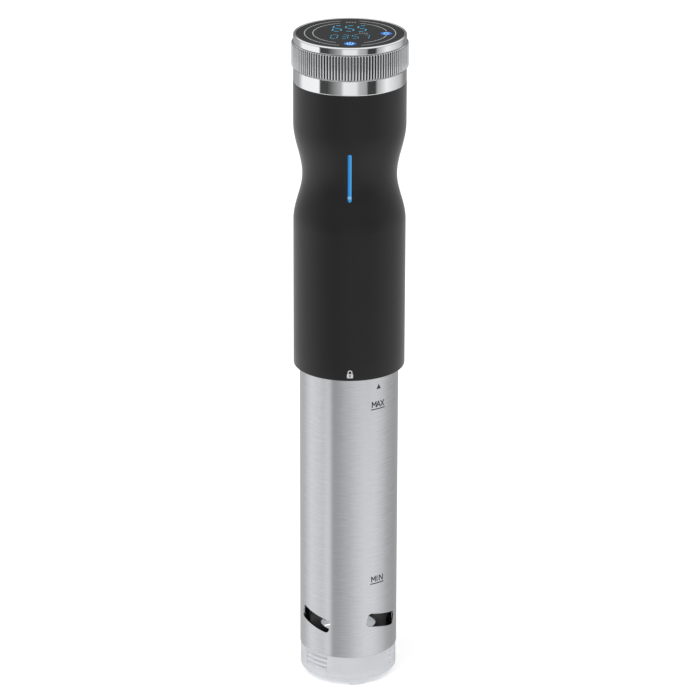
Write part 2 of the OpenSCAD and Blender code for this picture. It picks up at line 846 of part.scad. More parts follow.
module cap_seal() {
    seal_section = 0.4;
    color([0.75, 0.76, 0.78]) ring(sleeve_in - 0.05, sleeve_in - run_gap + 0.02,
        sleeve_z + cap_plug / 2 - seal_section, sleeve_z + cap_plug / 2 + seal_section);
}

// ---- Clip ----

module clip_bracket() {
    ear_x = clip_w / 2 - ear_t;
    color([0.1, 0.1, 0.11]) difference() {
        union() {
            difference() {
                translate([-clip_w / 2, housing_r - 6, plate_low])
                    cube([clip_w, plate_y - housing_r + 6, plate_high - plate_low]);
                disc(housing_r + fit_gap / 2, plate_low - eps, plate_high + eps);
            }
            for (x = [-clip_w / 2, ear_x]) translate([x, 0, 0]) rotate([90, 0, 90]) linear_extrude(ear_t)
                union() {
                    translate([pin_y, pin_z]) circle(r = ear_r);
                    translate([plate_y - eps, pin_z - ear_drop])
                        square([pin_y - plate_y + eps, ear_drop + ear_r]);
                }
        }
        translate([-clip_w, pin_y, pin_z]) rotate([0, 90, 0])
            cylinder(r = pin_r + fit_gap / 2, h = 2 * clip_w);
        for (z = screw_heights) {
            back_rod(screw_r + screw_gap, z, housing_r - 8, plate_y + eps);
            back_rod(head_r + screw_gap, z, plate_y - head_t, plate_y + eps);
        }
    }
}

module bracket_screws() {
    color([0.7, 0.7, 0.72]) for (z = screw_heights) {
        back_rod(screw_r, z, housing_in - 2.5, plate_y - 0.2);
        back_rod(head_r, z, plate_y - head_t, plate_y - 0.2);
    }
}

module clip_pin() {
    color([0.75, 0.75, 0.77]) translate([-clip_w / 2, pin_y, pin_z]) rotate([0, 90, 0])
        cylinder(r = pin_r, h = clip_w);
}

// Side outline of the lever, as [depth, height], from the jaw's tip to the thumb plate
module lever_side() {
    tip = jaw_y + 3.5;
    jaw_low = pin_z - jaw_len;
    thumb = pin_y + 12;
    thumb_top = pin_z + thumb_len;
    plate_in = pin_y + spring_room;
    plate_out = plate_in + lever_t;
    polygon([[tip, jaw_low - 5], [tip + lever_t, jaw_low - 4], [jaw_y + lever_t, jaw_low + 2],
        [jaw_y + lever_t, pin_z - 34], [plate_out, pin_z - 12], [plate_out, pin_z + 8],
        [thumb - 3 + lever_t, thumb_top - 8], [thumb + lever_t, thumb_top],
        [thumb, thumb_top + 1], [thumb - 3, thumb_top - 7], [plate_in, pin_z + 8],
        [plate_in, pin_z - 11], [jaw_y, pin_z - 33], [jaw_y, jaw_low + 1]]);
}

module lever_band(half, low, high) {
    intersection() {
        translate([-half, 0, 0]) rotate([90, 0, 90]) linear_extrude(2 * half) lever_side();
        translate([-half, 0, low]) cube([2 * half, pin_y + 40, high - low]);
    }
}

module clip_lever() {
    color([0.12, 0.12, 0.13]) difference() {
        union() {
            lever_band(clip_w / 2, pin_z - jaw_len - 6, pin_z - 14);
            lever_band(knuckle_x, pin_z - 14.5, pin_z + 14.5);
            lever_band(clip_w / 2, pin_z + 14, pin_z + thumb_len + 2);
            for (x = [-knuckle_x, knuckle_x - knuckle_t]) translate([x, pin_y, pin_z]) {
                rotate([0, 90, 0]) cylinder(r = knuckle_r, h = knuckle_t);
                translate([0, 0, -knuckle_r]) cube([knuckle_t, spring_room + lever_t / 2, 2 * knuckle_r]);
            }
        }
        translate([-clip_w, pin_y, pin_z]) rotate([0, 90, 0])
            cylinder(r = pin_r + bush_gap, h = 2 * clip_w);
    }
}

module clip_pad() {
    pad_w = clip_w - 4;
    rib_gap = 1.6;
    rib_pitch = 4;
    ribs = floor(pad_h / rib_pitch);
    color([0.2, 0.2, 0.2]) difference() {
        translate([-pad_w / 2, sleeve_r + pad_gap, pad_top - pad_h])
            cube([pad_w, jaw_y - sleeve_r - pad_gap, pad_h]);
        for (i = [1 : ribs - 1])
            translate([-clip_w / 2, sleeve_r, pad_top - i * rib_pitch - rib_gap / 2])
                cube([clip_w, pad_gap + 1, rib_gap]);
    }
}

// Points of the spring: a leg, a coil about the pin and a leg
function coil_angle(t) = 90 + t * 360 * coil_turns;
function coil_point(t) = [
    (t - 0.5) * coil_turns * coil_pitch,
    pin_y + coil_r * sin(coil_angle(t)),
    pin_z + coil_r * cos(coil_angle(t))];
function spring_path() = concat(
    [[coil_point(0)[0], pin_y + coil_r, pin_z + 10]],
    [for (i = [0 : 16 * coil_turns]) coil_point(i / (16 * coil_turns))],
    [[coil_point(1)[0], plate_y + wire_r + fit_gap, pin_z + 10]]);

module clip_spring() {
    color([0.75, 0.75, 0.77]) wire(spring_path(), wire_r, 8);
}

// A round wire along a path: each ring stands square to the path, turned from the X axis
function along(p, i) = let (a = p[max(0, i - 1)], b = p[min(len(p) - 1, i + 1)]) (b - a) / norm(b - a);
module wire(path, r, sides) {
    n = len(path);
    points = [for (i = [0 : n - 1])
        let (t = along(path, i), u0 = [1, 0, 0] - t * t[0], u = u0 / norm(u0), v = cross(t, u))
            for (k = [0 : sides - 1]) path[i] + r * (u * cos(k * 360 / sides) + v * sin(k * 360 / sides))];
    faces = concat(
        [[for (k = [0 : sides - 1]) k]],
        [for (i = [0 : n - 2], k = [0 : sides - 1]) let (m = (k + 1) % sides)
            [i * sides + k, (i + 1) * sides + k, (i + 1) * sides + m, i * sides + m]],
        [[for (k = [sides - 1 : -1 : 0]) (n - 1) * sides + k]]);
    polyhedron(points, faces);
}

handle_housing();
light_bar();
light_board();
neck_ring();
neck_seal();
glide_ring();
display_carrier();
display_board();
digit_display();
touch_pads();
bezel_ring();
touch_glass();
cord_gland();
gland_nut();
bulkhead();
bulkhead_seal();
bulkhead_screws();
shaft_seal();
motor_mount();
motor_case();
motor_stator();
board_frame();
power_board();
board_capacitor();
board_relay();
board_transformer();
heat_sink();
ribbon_cable();
heater_tube();
thermal_fuse();
temperature_probe();
level_rods();
shaft_tube();
shaft_bearings();
pump_cage();
clip_bracket();
bracket_screws();
clip_pin();
clip_spring();
dial_ring();
dial_magnets();
drive_shaft();
impeller();
motor_rotor();
twist_collar();
sleeve_tube();
base_cap();
cap_feet();
cap_seal();
clip_lever();
clip_pad();
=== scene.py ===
# Immersion circulator: the looks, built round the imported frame.
# Feet on z = 0, display at the top, front towards -Y. Shapes are worked out in millimetres.
import math
import bmesh
import bpy
import numpy as np
from mathutils import Matrix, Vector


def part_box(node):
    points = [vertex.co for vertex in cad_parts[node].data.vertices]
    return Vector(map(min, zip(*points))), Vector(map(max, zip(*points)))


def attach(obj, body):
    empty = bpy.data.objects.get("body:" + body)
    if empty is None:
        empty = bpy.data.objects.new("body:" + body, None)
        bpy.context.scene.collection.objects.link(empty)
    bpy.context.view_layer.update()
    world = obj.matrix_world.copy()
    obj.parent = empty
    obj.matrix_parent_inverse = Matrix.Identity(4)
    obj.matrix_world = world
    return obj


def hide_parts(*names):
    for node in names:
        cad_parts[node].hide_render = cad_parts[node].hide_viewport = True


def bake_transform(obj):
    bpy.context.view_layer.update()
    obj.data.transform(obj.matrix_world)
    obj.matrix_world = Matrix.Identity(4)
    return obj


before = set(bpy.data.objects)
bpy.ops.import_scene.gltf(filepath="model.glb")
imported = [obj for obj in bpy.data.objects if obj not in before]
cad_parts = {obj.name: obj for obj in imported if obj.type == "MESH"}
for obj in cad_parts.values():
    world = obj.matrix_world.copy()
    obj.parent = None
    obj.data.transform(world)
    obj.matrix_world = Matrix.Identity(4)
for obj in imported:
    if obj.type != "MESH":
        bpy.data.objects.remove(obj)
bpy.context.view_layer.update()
mm = 0.001
turn = 2 * math.pi


def linear(hexColour):  # each channel of an sRGB hex colour goes through the sRGB curve
    c = np.array([int(hexColour[i:i + 2], 16) for i in (1, 3, 5)]) / 255
    c = np.where(c <= 0.04045, c / 12.92, ((c + 0.055) / 1.055) ** 2.4)
    return (*c.tolist(), 1.0)


def addNode(tree, kind, settings=None, inputs=None):  # an input is a number, a colour or a node's output
    node = tree.nodes.new(kind)
    for key, value in (settings or {}).items():
        if key == "stops":  # (place, grey or hex colour) along a ramp
            ramp = node.color_ramp
            for n, (place, shade) in enumerate(value):
                stop = ramp.elements[n] if n < 2 else ramp.elements.new(place)
                stop.position = place
                stop.color = linear(shade) if isinstance(shade, str) else (shade, shade, shade, 1)
        else:
            setattr(node, key, value)
    for key, value in (inputs or {}).items():
        if isinstance(value, bpy.types.NodeSocket):
            tree.links.new(value, node.inputs[key])
        else:
            node.inputs[key].default_value = value
    return node


def makeFinish(name, colour, rough, metal=0.0, sockets=None, grains=()):
    # One principled shader; each grain is a noise of a real size in mm that shades, polishes or dents it.
    material = bpy.data.materials.new(name)
    material.use_nodes = True
    tree = material.node_tree
    shader = tree.nodes["Principled BSDF"]
    shader.inputs["Base Color"].default_value = linear(colour)
    shader.inputs["Roughness"].default_value = rough
    shader.inputs["Metallic"].default_value = metal
    for key, value in (sockets or {}).items():
        shader.inputs[key].default_value = linear(value) if isinstance(value, str) else value
    place = addNode(tree, "ShaderNodeTexCoord").outputs["Object"]
    for grain in grains:
        scale = [1 / (s * mm) for s in grain["size"]]
        scaled = addNode(tree, "ShaderNodeMapping", {}, {"Vector": place, "Scale": scale})
        noise = addNode(tree, "ShaderNodeTexNoise", {},
                        {"Vector": scaled.outputs[0], "Scale": 1.0, "Detail": grain.get("detail", 2.0)})
        if "shade" in grain:  # colour goes up and down by this share
            low, high = 1 - grain["shade"], 1 + grain["shade"]
            shade = addNode(tree, "ShaderNodeMapRange", {},
                            {0: noise.outputs[0], 1: 0.3, 2: 0.7, 3: low, 4: high})
            socket = shader.inputs["Base Color"]
            before = socket.links[0].from_socket if socket.links else tuple(socket.default_value)
            mixed = addNode(tree, "ShaderNodeMix", {"data_type": "RGBA", "blend_type": "MULTIPLY"},
                            {0: 1.0, 6: before, 7: shade.outputs[0]})
            tree.links.new(mixed.outputs[2], socket)
        if "polish" in grain:  # roughness goes up and down by this much
            polish = addNode(tree, "ShaderNodeMapRange", {},
                             {0: noise.outputs[0], 1: 0.3, 2: 0.7, 3: rough - grain["polish"],
                              4: rough + grain["polish"]})
            tree.links.new(polish.outputs[0], shader.inputs["Roughness"])
        if "depth" in grain:  # bump, in mm
            bump = addNode(tree, "ShaderNodeBump", {},
                           {"Height": noise.outputs[0], "Distance": grain["depth"] * mm})
            if shader.inputs["Normal"].links:
                tree.links.new(shader.inputs["Normal"].links[0].from_socket, bump.inputs["Normal"])
            tree.links.new(bump.outputs[0], shader.inputs["Normal"])
    return material


def shaderOf(material):
    return material.node_tree, material.node_tree.nodes["Principled BSDF"]


# Soft-touch painted polycarbonate: a fine matt coat that goes grey where it turns away
softTouch = makeFinish("softTouchPolycarbonate", "#0f0f11", 0.47, sockets={"IOR": 1.46,
                       "Specular IOR Level": 0.4, "Sheen Weight": 0.32, "Sheen Roughness": 0.38}, grains=[
    {"size": (0.35, 0.35, 0.35), "depth": 0.012, "polish": 0.05},
    {"size": (28, 28, 40), "shade": 0.08}])
# Acrylic light pipe lit from behind by blue diodes: a clear blue glow
lightAcrylic = makeFinish("litAcrylic", "#03121e", 0.25, sockets={"IOR": 1.49, "Emission Strength": 0.95})
# Bright chrome plate on zinc: a clean mirror with a trace of polishing haze
mirrorChrome = makeFinish("brightChromePlate", "#f2f3f5", 0.045, 1.0, grains=[
    {"size": (9, 9, 9), "polish": 0.015}, {"size": (1.2, 1.2, 1.2), "shade": 0.015}])
# Satin chrome plate on ABS: each rib glints as a line, and painted shade darkens the plate down in the
# grooves
satinChrome = makeFinish("satinChromePlate", "#e8e9eb", 0.14, 1.0, grains=[
    {"size": (0.8, 0.8, 3), "polish": 0.03, "shade": 0.02}])
# 304 stainless tube, brushed round and round: hair-fine level lines that spread light up and down
brushedSteel = makeFinish("brushedStainless304", "#d3d4d7", 0.17, 1.0, sockets={"Anisotropic": 0.45}, grains=[
    {"size": (9, 9, 0.26), "shade": 0.075, "polish": 0.04, "detail": 3.0},
    {"size": (7, 7, 0.18), "depth": 0.0012, "detail": 1.0}])
tree, shader = shaderOf(brushedSteel)
round304 = addNode(tree, "ShaderNodeTangent", {"direction_type": "RADIAL", "axis": "Z"})
tree.links.new(round304.outputs[0], shader.inputs["Tangent"])
# Soda-lime glass, painted black on its back: deep black under a hard gloss
blackGlass = makeFinish("backPaintedGlass", "#111113", 0.05, sockets={"IOR": 1.52}, grains=[
    {"size": (16, 16, 16), "polish": 0.012, "shade": 0.1}])
# White ink, screen printed, thin enough to dull a little over the black
screenInk = makeFinish("screenInkWhite", "#b9bbbd", 0.5, grains=[{"size": (0.4, 0.4, 0.4), "shade": 0.08}])
# Numeral diodes behind the glass: cyan bars, slightly uneven
litDigits = makeFinish("litNumerals", "#04141c", 0.3, sockets={
    "Emission Color": "#35b2dc", "Emission Strength": 0.7},
    grains=[{"size": (1.5, 1.5, 1.5), "shade": 0.2}])
# Touch keys lit in deep blue, with a pale sign on each
litKey = makeFinish("litKeyBlue", "#020814", 0.3, sockets={
    "Emission Color": "#0560c4", "Emission Strength": 0.95},
    grains=[{"size": (2.5, 2.5, 2.5), "shade": 0.25}])
litSign = makeFinish("litKeySign", "#16242c", 0.3, sockets={
    "Emission Color": "#90dcf6", "Emission Strength": 1.2},
    grains=[{"size": (1.0, 1.0, 1.0), "shade": 0.1}])
# Dark grey ink etched and filled on the steel
etchInk = makeFinish("etchedDarkInk", "#2c2d30", 0.55, grains=[{"size": (0.5, 0.5, 0.5), "shade": 0.15}])
# Frosted copolyester: milky, lets light through, satin skin; a faint emission adds painted light
frosted = makeFinish("frostedCopolyester", "#cdcfd2", 0.34, sockets={
    "IOR": 1.57, "Transmission Weight": 0.35,
    "Emission Color": "#f4f6fa", "Emission Strength": 0.02}, grains=[
    {"size": (0.5, 0.5, 0.5), "depth": 0.006}, {"size": (14, 14, 9), "shade": 0.02, "polish": 0.05}])
# Glass-filled nylon: dull black with pale fibre flecks and a rough moulded skin
glassNylon = makeFinish("glassFilledNylon", "#161618", 0.48, sockets={"IOR": 1.53}, grains=[
    {"size": (0.25, 0.25, 1.4), "shade": 0.35, "depth": 0.02}, {"size": (10, 10, 10), "polish": 0.07}])
greyNylon = makeFinish("glassFilledNylonGrey", "#4c4e52", 0.5, sockets={"IOR": 1.53}, grains=[
    {"size": (0.25, 0.25, 1.4), "shade": 0.2, "depth": 0.02}])
blackAbs = makeFinish("blackAbs", "#1b1b1d", 0.42, sockets={"IOR": 1.54}, grains=[
    {"size": (0.4, 0.4, 0.4), "depth": 0.01, "polish": 0.05}])
# Silicone rubber: matt, slightly dusty
blackSilicone = makeFinish("blackSilicone", "#1e1e1f", 0.62, sockets={"IOR": 1.43, "Sheen Weight": 0.15},
                           grains=[{"size": (0.7, 0.7, 0.7), "shade": 0.12, "depth": 0.015}])
redSilicone = makeFinish("redSilicone", "#6d2019", 0.55, sockets={"IOR": 1.43},
                         grains=[{"size": (0.7, 0.7, 0.7), "shade": 0.12, "depth": 0.015}])
clearSilicone = makeFinish("clearSilicone", "#dcdfe2", 0.35,
                           sockets={"IOR": 1.43, "Transmission Weight": 0.4},
                           grains=[{"size": (1.0, 1.0, 1.0), "shade": 0.04}])
acetal = makeFinish("acetalNatural", "#e4e4df", 0.32, sockets={"IOR": 1.48, "Subsurface Weight": 0.1},
                    grains=[{"size": (3, 3, 3), "shade": 0.03, "polish": 0.05}])
# Zinc-plated steel: bright with a faint bloom
zincSteel = makeFinish("zincPlatedSteel", "#b9bcc0", 0.27, 1.0, grains=[
    {"size": (1.2, 1.2, 1.2), "shade": 0.1, "polish": 0.08}])
springSteel = makeFinish("springSteelWire", "#a7a9ad", 0.22, 1.0, grains=[
    {"size": (0.2, 0.2, 3), "shade": 0.1, "polish": 0.06}])
polishedSteel = makeFinish("polishedStainless", "#cfd1d4", 0.12, 1.0, grains=[
    {"size": (6, 6, 0.4), "polish": 0.04, "shade": 0.03}])
# Alloy heater sheath: drawn tube, dulled to warm grey by heat
heaterSheath = makeFinish("heatDulledSheath", "#8d8a86", 0.33, 1.0, grains=[
    {"size": (5, 5, 9), "shade": 0.16, "polish": 0.08}, {"size": (0.3, 0.3, 4), "depth": 0.004}])
bronze = makeFinish("sinteredBronze", "#9a7440", 0.42, 1.0, grains=[
    {"size": (0.3, 0.3, 0.3), "shade": 0.2, "depth": 0.02}])
magnetNickel = makeFinish("nickelPlatedMagnet", "#b5b3ab", 0.2, 1.0, grains=[
    {"size": (1, 1, 1), "shade": 0.05}])
rotorIron = makeFinish("laminatedIron", "#6f7073", 0.4, 1.0, grains=[
    {"size": (30, 30, 0.5), "shade": 0.25, "depth": 0.02}])
copperWire = makeFinish("enamelledCopper", "#a5552a", 0.3, 1.0, grains=[
    {"size": (0.5, 0.5, 9), "shade": 0.25, "depth": 0.1}])
castAluminium = makeFinish("extrudedAluminium", "#a9acb0", 0.35, 1.0, grains=[
    {"size": (0.4, 0.4, 12), "shade": 0.08, "polish": 0.08}])
# FR4 board under green solder mask, with a woven glass core showing through
greenBoard = makeFinish("solderMaskBoard", "#0f4a2b", 0.38, sockets={"IOR": 1.55}, grains=[
    {"size": (0.5, 0.5, 0.5), "shade": 0.1}, {"size": (4, 4, 4), "shade": 0.2, "polish": 0.06}])
ceramic = makeFinish("glazedCeramic", "#e6e2d8", 0.25, sockets={"IOR": 1.6},
                     grains=[{"size": (2, 2, 2), "shade": 0.05, "polish": 0.05}])
blueCase = makeFinish("relayPolyester", "#1f4f9e", 0.4, grains=[{"size": (0.5, 0.5, 0.5), "shade": 0.06,
                                                               "depth": 0.01}])
capSleeve = makeFinish("capacitorSleeve", "#1b1d2f", 0.3, grains=[{"size": (1.5, 1.5, 6), "shade": 0.12}])
windingTape = makeFinish("polyesterTape", "#c5a545", 0.35, grains=[{"size": (8, 8, 0.6), "shade": 0.1,
                                                                    "depth": 0.03}])
ribbonGrey = makeFinish("pvcRibbon", "#8d9094", 0.5, grains=[{"size": (1.27, 30, 30), "shade": 0.18,
                                                              "depth": 0.08}])
foam = makeFinish("conductiveFoam", "#2b2b2d", 0.85, grains=[{"size": (0.5, 0.5, 0.5), "shade": 0.3,
                                                               "depth": 0.1}])
displayBlock = makeFinish("displayEpoxy", "#26272a", 0.35, grains=[{"size": (0.8, 0.8, 0.8), "shade": 0.1}])
# The light pipe's glow is painted darker on its left and paler on its right (painted shading), and has one
# small painted highlight near its foot
tree, shader = shaderOf(lightAcrylic)
place = addNode(tree, "ShaderNodeSeparateXYZ", {}, {0: addNode(tree, "ShaderNodeTexCoord").outputs["Object"]})
barPaintedLight = {"half": 1.05, "glintZ": 296.8, "glintNear": 0.3, "glintFar": 1.1, "glint": 0.55}
# painted shading: the emission colour runs from deep blue on the left to pale blue on the right
across = addNode(tree, "ShaderNodeMapRange", {},
                 {0: place.outputs[0], 1: -barPaintedLight["half"] * mm, 2: barPaintedLight["half"] * mm})
glow = addNode(tree, "ShaderNodeValToRGB", {"stops": [(0.0, "#0468b4"), (1.0, "#47a6e4"), (0.5, "#1f8ed2")]},
               {0: across.outputs[0]})
# painted highlight: near glintZ the emission colour is mixed towards pale blue
foot = addNode(tree, "ShaderNodeMath", {"operation": "SUBTRACT"},
               {0: place.outputs[2], 1: barPaintedLight["glintZ"] * mm})
foot = addNode(tree, "ShaderNodeMath", {"operation": "ABSOLUTE"}, {0: foot.outputs[0]})
foot = addNode(tree, "ShaderNodeMapRange", {}, {0: foot.outputs[0], 1: barPaintedLight["glintFar"] * mm,
                                                2: barPaintedLight["glintNear"] * mm, 3: 0.0, 4: barPaintedLight["glint"]})
glow = addNode(tree, "ShaderNodeMix", {"data_type": "RGBA"},
               {0: foot.outputs[0], 6: glow.outputs[0], 7: linear("#a8d6f6")})
tree.links.new(glow.outputs[2], shader.inputs["Emission Color"])

# Painted light: the cap's gaps are given a little emission, standing in for light passing through its walls;
# it rises from its skin inwards by 1.2 mm
tree, shader = shaderOf(frosted)
flat = addNode(tree, "ShaderNodeVectorMath", {"operation": "MULTIPLY"},
               {0: addNode(tree, "ShaderNodeTexCoord").outputs["Object"], 1: (1, 1, 0)})
reach = addNode(tree, "ShaderNodeVectorMath", {"operation": "LENGTH"}, {0: flat.outputs[0]})
capPaintedGlow = {"skin": 27.5, "deep": 26.3, "skinGlow": 0.02, "deepGlow": 0.2}
inward = addNode(tree, "ShaderNodeMapRange", {},
                 {0: reach.outputs["Value"], 1: capPaintedGlow["skin"] * mm, 2: capPaintedGlow["deep"] * mm,
                  3: capPaintedGlow["skinGlow"], 4: capPaintedGlow["deepGlow"]})
tree.links.new(inward.outputs[0], shader.inputs["Emission Strength"])

# Painted groove shade: the base colour is darkened by the distance from the axis, sqrt(x * x + y * y),
# from dark at the rib's foot to full colour; faces that look up or down get no painted shade
tree, shader = shaderOf(satinChrome)
flat = addNode(tree, "ShaderNodeVectorMath", {"operation": "MULTIPLY"},
               {0: addNode(tree, "ShaderNodeTexCoord").outputs["Object"], 1: (1, 1, 0)})
reach = addNode(tree, "ShaderNodeVectorMath", {"operation": "LENGTH"}, {0: flat.outputs[0]})
# painted shade: radii of the rib's foot and back, and the darkest share of the colour
paintedGrooveShade = {"foot": 31.75, "back": 32.3, "shade": 0.12}
deep = addNode(tree, "ShaderNodeMapRange", {},
               {0: reach.outputs["Value"], 1: paintedGrooveShade["foot"] * mm, 2: paintedGrooveShade["back"] * mm,
                3: paintedGrooveShade["shade"]})
normal = addNode(tree, "ShaderNodeSeparateXYZ", {},
                 {0: addNode(tree, "ShaderNodeNewGeometry").outputs["Normal"]})
level = addNode(tree, "ShaderNodeMath", {"operation": "ABSOLUTE"}, {0: normal.outputs[2]})
deep = addNode(tree, "ShaderNodeMath", {"operation": "MAXIMUM"}, {0: deep.outputs[0], 1: level.outputs[0]})
shaded = addNode(tree, "ShaderNodeMix", {"data_type": "RGBA", "blend_type": "MULTIPLY"},
                 {0: 1.0, 6: shader.inputs["Base Color"].links[0].from_socket, 7: deep.outputs[0]})
tree.links.new(shaded.outputs[2], shader.inputs["Base Color"])
print("stage: finishes made")


# Every shape function gives (points in mm, faces).

def gridFaces(rows, columns, closeRows=False, closeColumns=True):
    # Point (i, j) has number i * columns + j; a face joins (i, j), (i, j+1), (i+1, j+1), (i+1, j).
    i = np.arange(rows if closeRows else rows - 1)[:, None]
    j = np.arange(columns if closeColumns else columns - 1)[None, :]
    i2, j2 = (i + 1) % rows, (j + 1) % columns
    corners = [i * columns + j, i * columns + j2, i2 * columns + j2, i2 * columns + j]
    return np.stack(corners, -1).reshape(-1, 4)


def roundedLoop(corners, steps=5):
    # Each corner (r, z, cut) becomes a quadratic curve between the points that lie cut away
    # along its two edges.
    c = np.array(corners, float)
    point, cut = c[:, :2], c[:, 2:]
    after, before = np.roll(point, -1, 0) - point, np.roll(point, 1, 0) - point
    a = point + before / np.linalg.norm(before, axis=1)[:, None] * cut
    b = point + after / np.linalg.norm(after, axis=1)[:, None] * cut
    t = np.linspace(0, 1, steps)[None, :, None]
    curve = (1 - t) ** 2 * a[:, None] + 2 * t * (1 - t) * point[:, None] + t ** 2 * b[:, None]
    return curve.reshape(-1, 2)


def lathe(profile, steps=192, closed=True, centre=(0, 0, 0), axis="z"):
    # A profile point (r, h) goes round: x = r sin a, y = -r cos a, z = h;
    # about the y axis z = r cos a, y = h.
    a = np.arange(steps) * turn / steps
    r, h = np.array(profile, float)[:, :1], np.array(profile, float)[:, 1:]
    flat = 0 * a
    around = {"z": (r * np.sin(a), -r * np.cos(a), h + flat), "y": (r * np.sin(a), h + flat, r * np.cos(a)),
              "x": (h + flat, r * np.sin(a), r * np.cos(a))}[axis]
    points = np.stack(around, -1).reshape(-1, 3) + np.array(centre)
    return points, gridFaces(len(profile), steps, closed)


def stadium(width, height, side=14, arc=10):
    # Half circles of radius width / 2 at both ends, joined by straight sides, as (u, v) points.
    r, straight = width / 2, max(height - width, 0) / 2
    top, low = np.linspace(0, math.pi, arc), np.linspace(math.pi, turn, arc)
    run = np.linspace(straight, -straight, side + 2)[1:-1]
    u = np.concatenate([r * np.cos(top), np.full(side, -r), r * np.cos(low), np.full(side, r)])
    v = np.concatenate([straight + r * np.sin(top), run, r * np.sin(low) - straight, -run])
    return np.stack([u, v], -1)


def roundedBox(width, height, corner, slant=0.0, steps=7):
    # A rectangle with round corners, turned by slant degrees, as (u, v) points.
    w, h = width / 2, height / 2
    loop = roundedLoop([(-w, -h, corner), (w, -h, corner), (w, h, corner), (-w, h, corner)], steps)
    s, c = math.sin(math.radians(slant)), math.cos(math.radians(slant))
    return np.stack([loop[:, 0] * c - loop[:, 1] * s, loop[:, 0] * s + loop[:, 1] * c], -1)


def stack(rings, place):
    # Rings of (u, v) points and a height w each, joined in order; place puts (u, v, w) on the object.
    n = len(rings[0][0])
    uvw = np.concatenate([np.column_stack([ring, np.full(n, w)]) for ring, w in rings])
    return place(*uvw.T), gridFaces(len(rings), n)


def prism(outline, low, high, place):  # an outline between two heights, closed at the middle of both ends
    middle = outline * 0 + outline.mean(0)
    return stack([(middle, low), (outline, low), (outline, high), (middle, high)], place)


def facing(angle, height):
    # u runs across, v up and w outwards from the axis, at an angle from the front.
    s, c = math.sin(math.radians(angle)), math.cos(math.radians(angle))
    return lambda u, v, w: np.stack([w * s + u * c, u * s - w * c, v + height], -1)


def wrapped(radius, angle, height):
    # u is length round a cylinder, v up and w above its skin: a = angle + u / radius, r = radius + w.
    start = math.radians(angle)
    return lambda u, v, w: np.stack([(radius + w) * np.sin(start + u / radius),
                                     -(radius + w) * np.cos(start + u / radius), v + height], -1)


def ribbons(strokes, width, thick, place, step=0.6):
    # A square bar of the given width follows each stroke of (u, v) points, cut into short steps.
    parts = []
    for stroke in strokes:
        p = np.array(stroke, float)
        length = np.concatenate([[0], np.cumsum(np.hypot(*np.diff(p, axis=0).T))])
        at = np.unique(np.concatenate([length, np.arange(0, length[-1], step)]))
        line = np.stack([np.interp(at, length, p[:, k]) for k in (0, 1)], -1)
        along = np.gradient(line, at, axis=0)
        along /= np.linalg.norm(along, axis=1)[:, None]
        side = np.stack([-along[:, 1], along[:, 0]], -1) * width / 2
        loop = [(line - side, 0), (line + side, 0), (line + side, thick), (line - side, thick)]
        uvw = np.stack([np.column_stack([q, np.full(len(q), w)]) for q, w in loop], 1)
        ends = uvw[[0, -1]].mean(1, keepdims=True).repeat(4, 1)
        uvw = np.concatenate([ends[:1], uvw, ends[1:]])
        parts.append((place(*uvw.reshape(-1, 3).T), gridFaces(len(uvw), 4)))
    return parts


def sweep(path, radius, sides, across):
    # A circle of the given radius is carried along the path, square to it; across is never along the path.
    path = np.array(path, float)
    along = np.gradient(path, axis=0)
    along /= np.linalg.norm(along, axis=1)[:, None]
    one = np.cross(along, np.array(across, float))
    one /= np.linalg.norm(one, axis=1)[:, None]
    two = np.cross(along, one)
    a = np.arange(sides) * turn / sides
    rings = path[:, None] + radius * (one[:, None] * np.cos(a)[:, None] + two[:, None] * np.sin(a)[:, None])
    ends = path[[0, -1], None].repeat(sides, 1)
    rings = np.concatenate([ends[:1], rings, ends[1:]])
    return rings.reshape(-1, 3), gridFaces(len(rings), sides)


def arc(centre, radius, first, last, steps=24):  # points on a circle between two angles in degrees
    a = np.radians(np.linspace(first, last, steps))
    return np.stack([centre[0] + radius * np.cos(a), centre[1] + radius * np.sin(a)], -1)


def makeObject(name, parts):  # joins the parts into one closed mesh in metres, doubles merged, faces outwards
    mesh = bpy.data.meshes.new(name)
    points, faces, start = [], [], 0
    for p, f in parts:
        points.append(p)
        faces.append(f + start)
        start += len(p)
    mesh.from_pydata((np.concatenate(points) * mm).tolist(), [], np.concatenate(faces).tolist())
    piece = bpy.data.objects.new(name, mesh)
    bpy.context.scene.collection.objects.link(piece)
    tidyMesh(mesh)
    return piece


def tidyMesh(mesh, flat=None):
    bm = bmesh.new()
    bm.from_mesh(mesh)
    bmesh.ops.remove_doubles(bm, verts=bm.verts, dist=2e-7)
    if flat:
        bmesh.ops.dissolve_limit(bm, angle_limit=flat, verts=bm.verts, edges=bm.edges)
    loose = [e for e in bm.edges if not e.link_faces]
    bmesh.ops.delete(bm, geom=loose, context="EDGES")
    bmesh.ops.recalc_face_normals(bm, faces=bm.faces)
    bm.to_mesh(mesh)
    bm.free()


def applied(piece):  # the modifiers' result becomes the piece's own mesh
    done = bpy.data.meshes.new_from_object(piece.evaluated_get(bpy.context.evaluated_depsgraph_get()))
    piece.modifiers.clear()
    piece.data = done


def carve(piece, parts):  # cuts the parts out of the piece with an exact boolean
    for part in parts:
        tool = makeObject("tool", [part])
        cut = piece.modifiers.new("cut", "BOOLEAN")
        cut.operation, cut.solver, cut.object = "DIFFERENCE", "EXACT", tool
        applied(piece)
        bpy.data.objects.remove(tool)


def finishPiece(piece, body, finish, stands=(), sharp=35, bevel=0.0):
    mesh = piece.data
    mesh.materials.clear()
    mesh.materials.append(finish)
    mesh.shade_smooth()
    mesh.set_sharp_from_angle(angle=math.radians(sharp))
    if bevel:
        edge = piece.modifiers.new("edges", "BEVEL")
        edge.width, edge.segments, edge.limit_method = bevel * mm, 2, "ANGLE"
        edge.angle_limit, edge.harden_normals = math.radians(40), True
    if isinstance(body, tuple):  # body gives two bodies and the points from one to the other; the piece only has its transform baked into its mesh and is attached to neither
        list(body)
        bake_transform(piece)
    else:
        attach(piece, body)
    if stands:
        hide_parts(*stands)
    return piece


